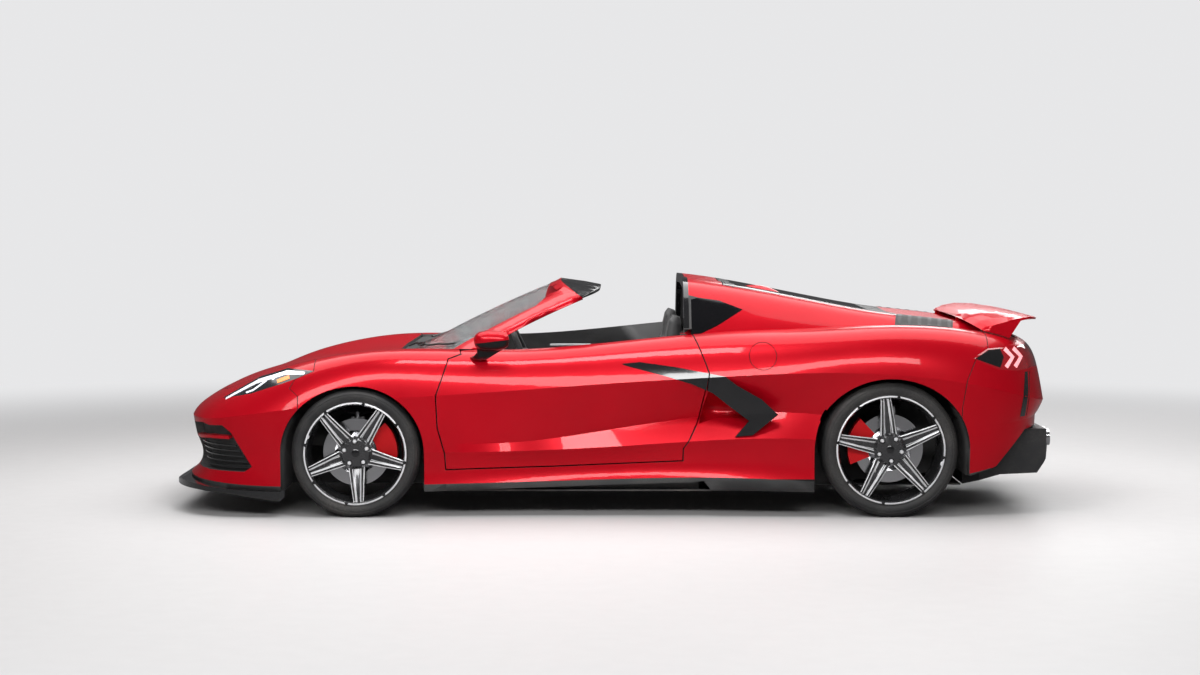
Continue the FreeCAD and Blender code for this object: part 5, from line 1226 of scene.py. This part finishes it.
wipers = []
for start, end in ((-0.60, -0.02), (0.02, 0.58)):
    blade = []
    for step in range(15):
        y = start + (end - start) * step / 14
        foot = next((x for x in (-1.16 + 0.01 * inch for inch in range(40)) if on_screen(x, y)), None)
        if foot is not None:
            blade.append(on_screen(foot + 0.035, y) or on_screen(foot, y))
    wipers.append(tube(blade, 0.0055, ROUGH_BLACK, 8))
    arm = [spot + Vector((-0.012, 0, 0.010)) for spot in blade[len(blade) // 2:]]
    arm.append(arm[-1] + Vector((-0.045, 0.02, -0.018)))
    wipers.append(tube(arm, 0.0065, SATIN_BLACK, 8))
gathered("wipers", "root", wipers)

# Slats beside the hatch glass over flat dark beds, which are painted shade for the openings between the slats; and the
# high brake lamp's swelling ahead of it
patch("deck_slats", "hatch", SATIN_BLACK, [
    stroke([(1.495 + 0.052 * i, 0.455), (1.475 + 0.052 * i, 0.585)], 0.018) for i in range(6)
], 0.0030, look=on_top)
# A flat black sheet under the slats: painted shade where the vent openings are.
patch("deck_slat_shade_beds", "hatch", ROUGH_BLACK, [[(1.478, 0.445), (1.775, 0.445), (1.752, 0.598), (1.450, 0.598)]],
      0.0010, look=on_top)
rings = []
for step in range(13):
    share = step / 12
    swell = math.sin(math.pi * (0.04 + 0.92 * share)) ** 0.6
    x = 0.700 + 0.200 * share
    base = on_top(x, 0.002)[0].z - 0.012
    rings.append([
        (x, 0.062 * swell * math.cos(turn), base + 0.030 * swell * max(math.sin(turn), -0.3)) for turn in turns(24)
    ])
gathered("high_brake_lamp", "hatch", [loft(rings, RED)])


# Studio: pale floor that sweeps up into a pale backdrop
def seen(tree):
    # 1 for what the camera sees, also through glass, and 0 for reflections and bounced light
    path = add(tree, "ShaderNodeLightPath").outputs
    return compute(tree, "MAXIMUM", path["Is Camera Ray"], path["Is Transmission Ray"])


def mix_shaders(tree, share, first, second):
    return add(tree, "ShaderNodeMixShader", {0: share, 1: first, 2: second}).outputs[0]


def make_floor():
    half_width, depth, sweep, height = 30.0, 14.0, 5.0, 16.0
    profile = [(-40.0, 0.0), (depth, 0.0)]
    for step in range(1, 13):
        angle = math.pi / 2 * step / 12
        profile.append((depth + sweep * math.sin(angle), sweep * (1 - math.cos(angle))))
    profile.append((depth + sweep, height))
    points = [(x, y, z) for y, z in profile for x in (-half_width, half_width)]
    mesh = new_mesh("studio_floor", points, lattice(len(profile), 2, False, False))
    mesh.shade_smooth()
    material, tree, shader = new_material("studio_floor")
    body = use_group(tree, GRAIN, {"Color": (0.62, 0.61, 0.61, 1), "Scale": 3.0, "Contrast": 0.07})
    fill(tree, shader, {"Base Color": body["Color"], "Roughness": 0.5, "Specular IOR Level": 0.3})
    # Far from the car the floor gives way to a plain pale wall, and reflections see a dim room
    parts = add(tree, "ShaderNodeSeparateXYZ", {0: object_place(tree)}).outputs
    level = add(tree, "ShaderNodeCombineXYZ", {"X": parts["X"], "Y": parts["Y"]}).outputs[0]
    reach = {"Value": vectors(tree, "LENGTH", {0: level}, "Value"), "From Min": 3.6, "From Max": 9.5}
    far = add(tree, "ShaderNodeMapRange", reach, interpolation_type="SMOOTHSTEP").outputs[0]
    wall = add(tree, "ShaderNodeEmission", {"Color": (0.80, 0.80, 0.81, 1)}).outputs[0]
    dim = add(tree, "ShaderNodeEmission", {"Color": (0.06, 0.06, 0.063, 1)}).outputs[0]
    glossy = add(tree, "ShaderNodeLightPath").outputs["Is Glossy Ray"]
    surface = mix_shaders(tree, compute(tree, "MULTIPLY", seen(tree), far), shader.outputs[0], wall)
    surface = mix_shaders(tree, compute(tree, "MULTIPLY", glossy, 0.75), surface, dim)
    fill(tree, tree.nodes["Material Output"], {"Surface": surface})
    loose_piece("studio_floor", mesh, material)


def area_light(name, place, aim, width, height, power):
    data = bpy.data.lights.new(name, "AREA")
    data.shape = "RECTANGLE"
    data.size = width
    data.size_y = height
    data.energy = power
    lamp = bpy.data.objects.new(name, data)
    bpy.context.collection.objects.link(lamp)
    lamp.location = place
    lamp.rotation_euler = (Vector(aim) - Vector(place)).to_track_quat("-Z", "Y").to_euler()


def make_world():
    # Pale air for the eye, dim air for the light it gives
    world = bpy.data.worlds.new("studio_air")
    bpy.context.scene.world = world
    world.use_nodes = True
    tree = world.node_tree
    pale = {"Color": (0.86, 0.86, 0.87, 1)}
    bright = tree.nodes["Background"]
    fill(tree, bright, {**pale, "Strength": 0.93})
    dim = add(tree, "ShaderNodeBackground", {**pale, "Strength": 0.13})
    surface = mix_shaders(tree, seen(tree), dim.outputs[0], bright.outputs[0])
    fill(tree, tree.nodes["World Output"], {"Surface": surface})


make_floor()
make_world()
# Wide soft light above, one along the left side, one behind, and a strip for the upper face of the door
area_light("overhead", (0, 0.9, 4.4), (0, 0.9, 0), 9.0, 5.0, 430)
area_light("side_key", (-1.0, -8.0, 4.2), (0, 0, 0.5), 9.0, 1.2, 430)
area_light("rear_fill", (3.5, 6.0, 3.2), (0, 0, 0.6), 5.0, 1.6, 110)
area_light("shelf_strip", (-0.45, -2.55, 4.3), (-0.3, -0.8, 0.5), 1.7, 0.9, 85)
bpy.context.scene.view_settings.view_transform = "Standard"
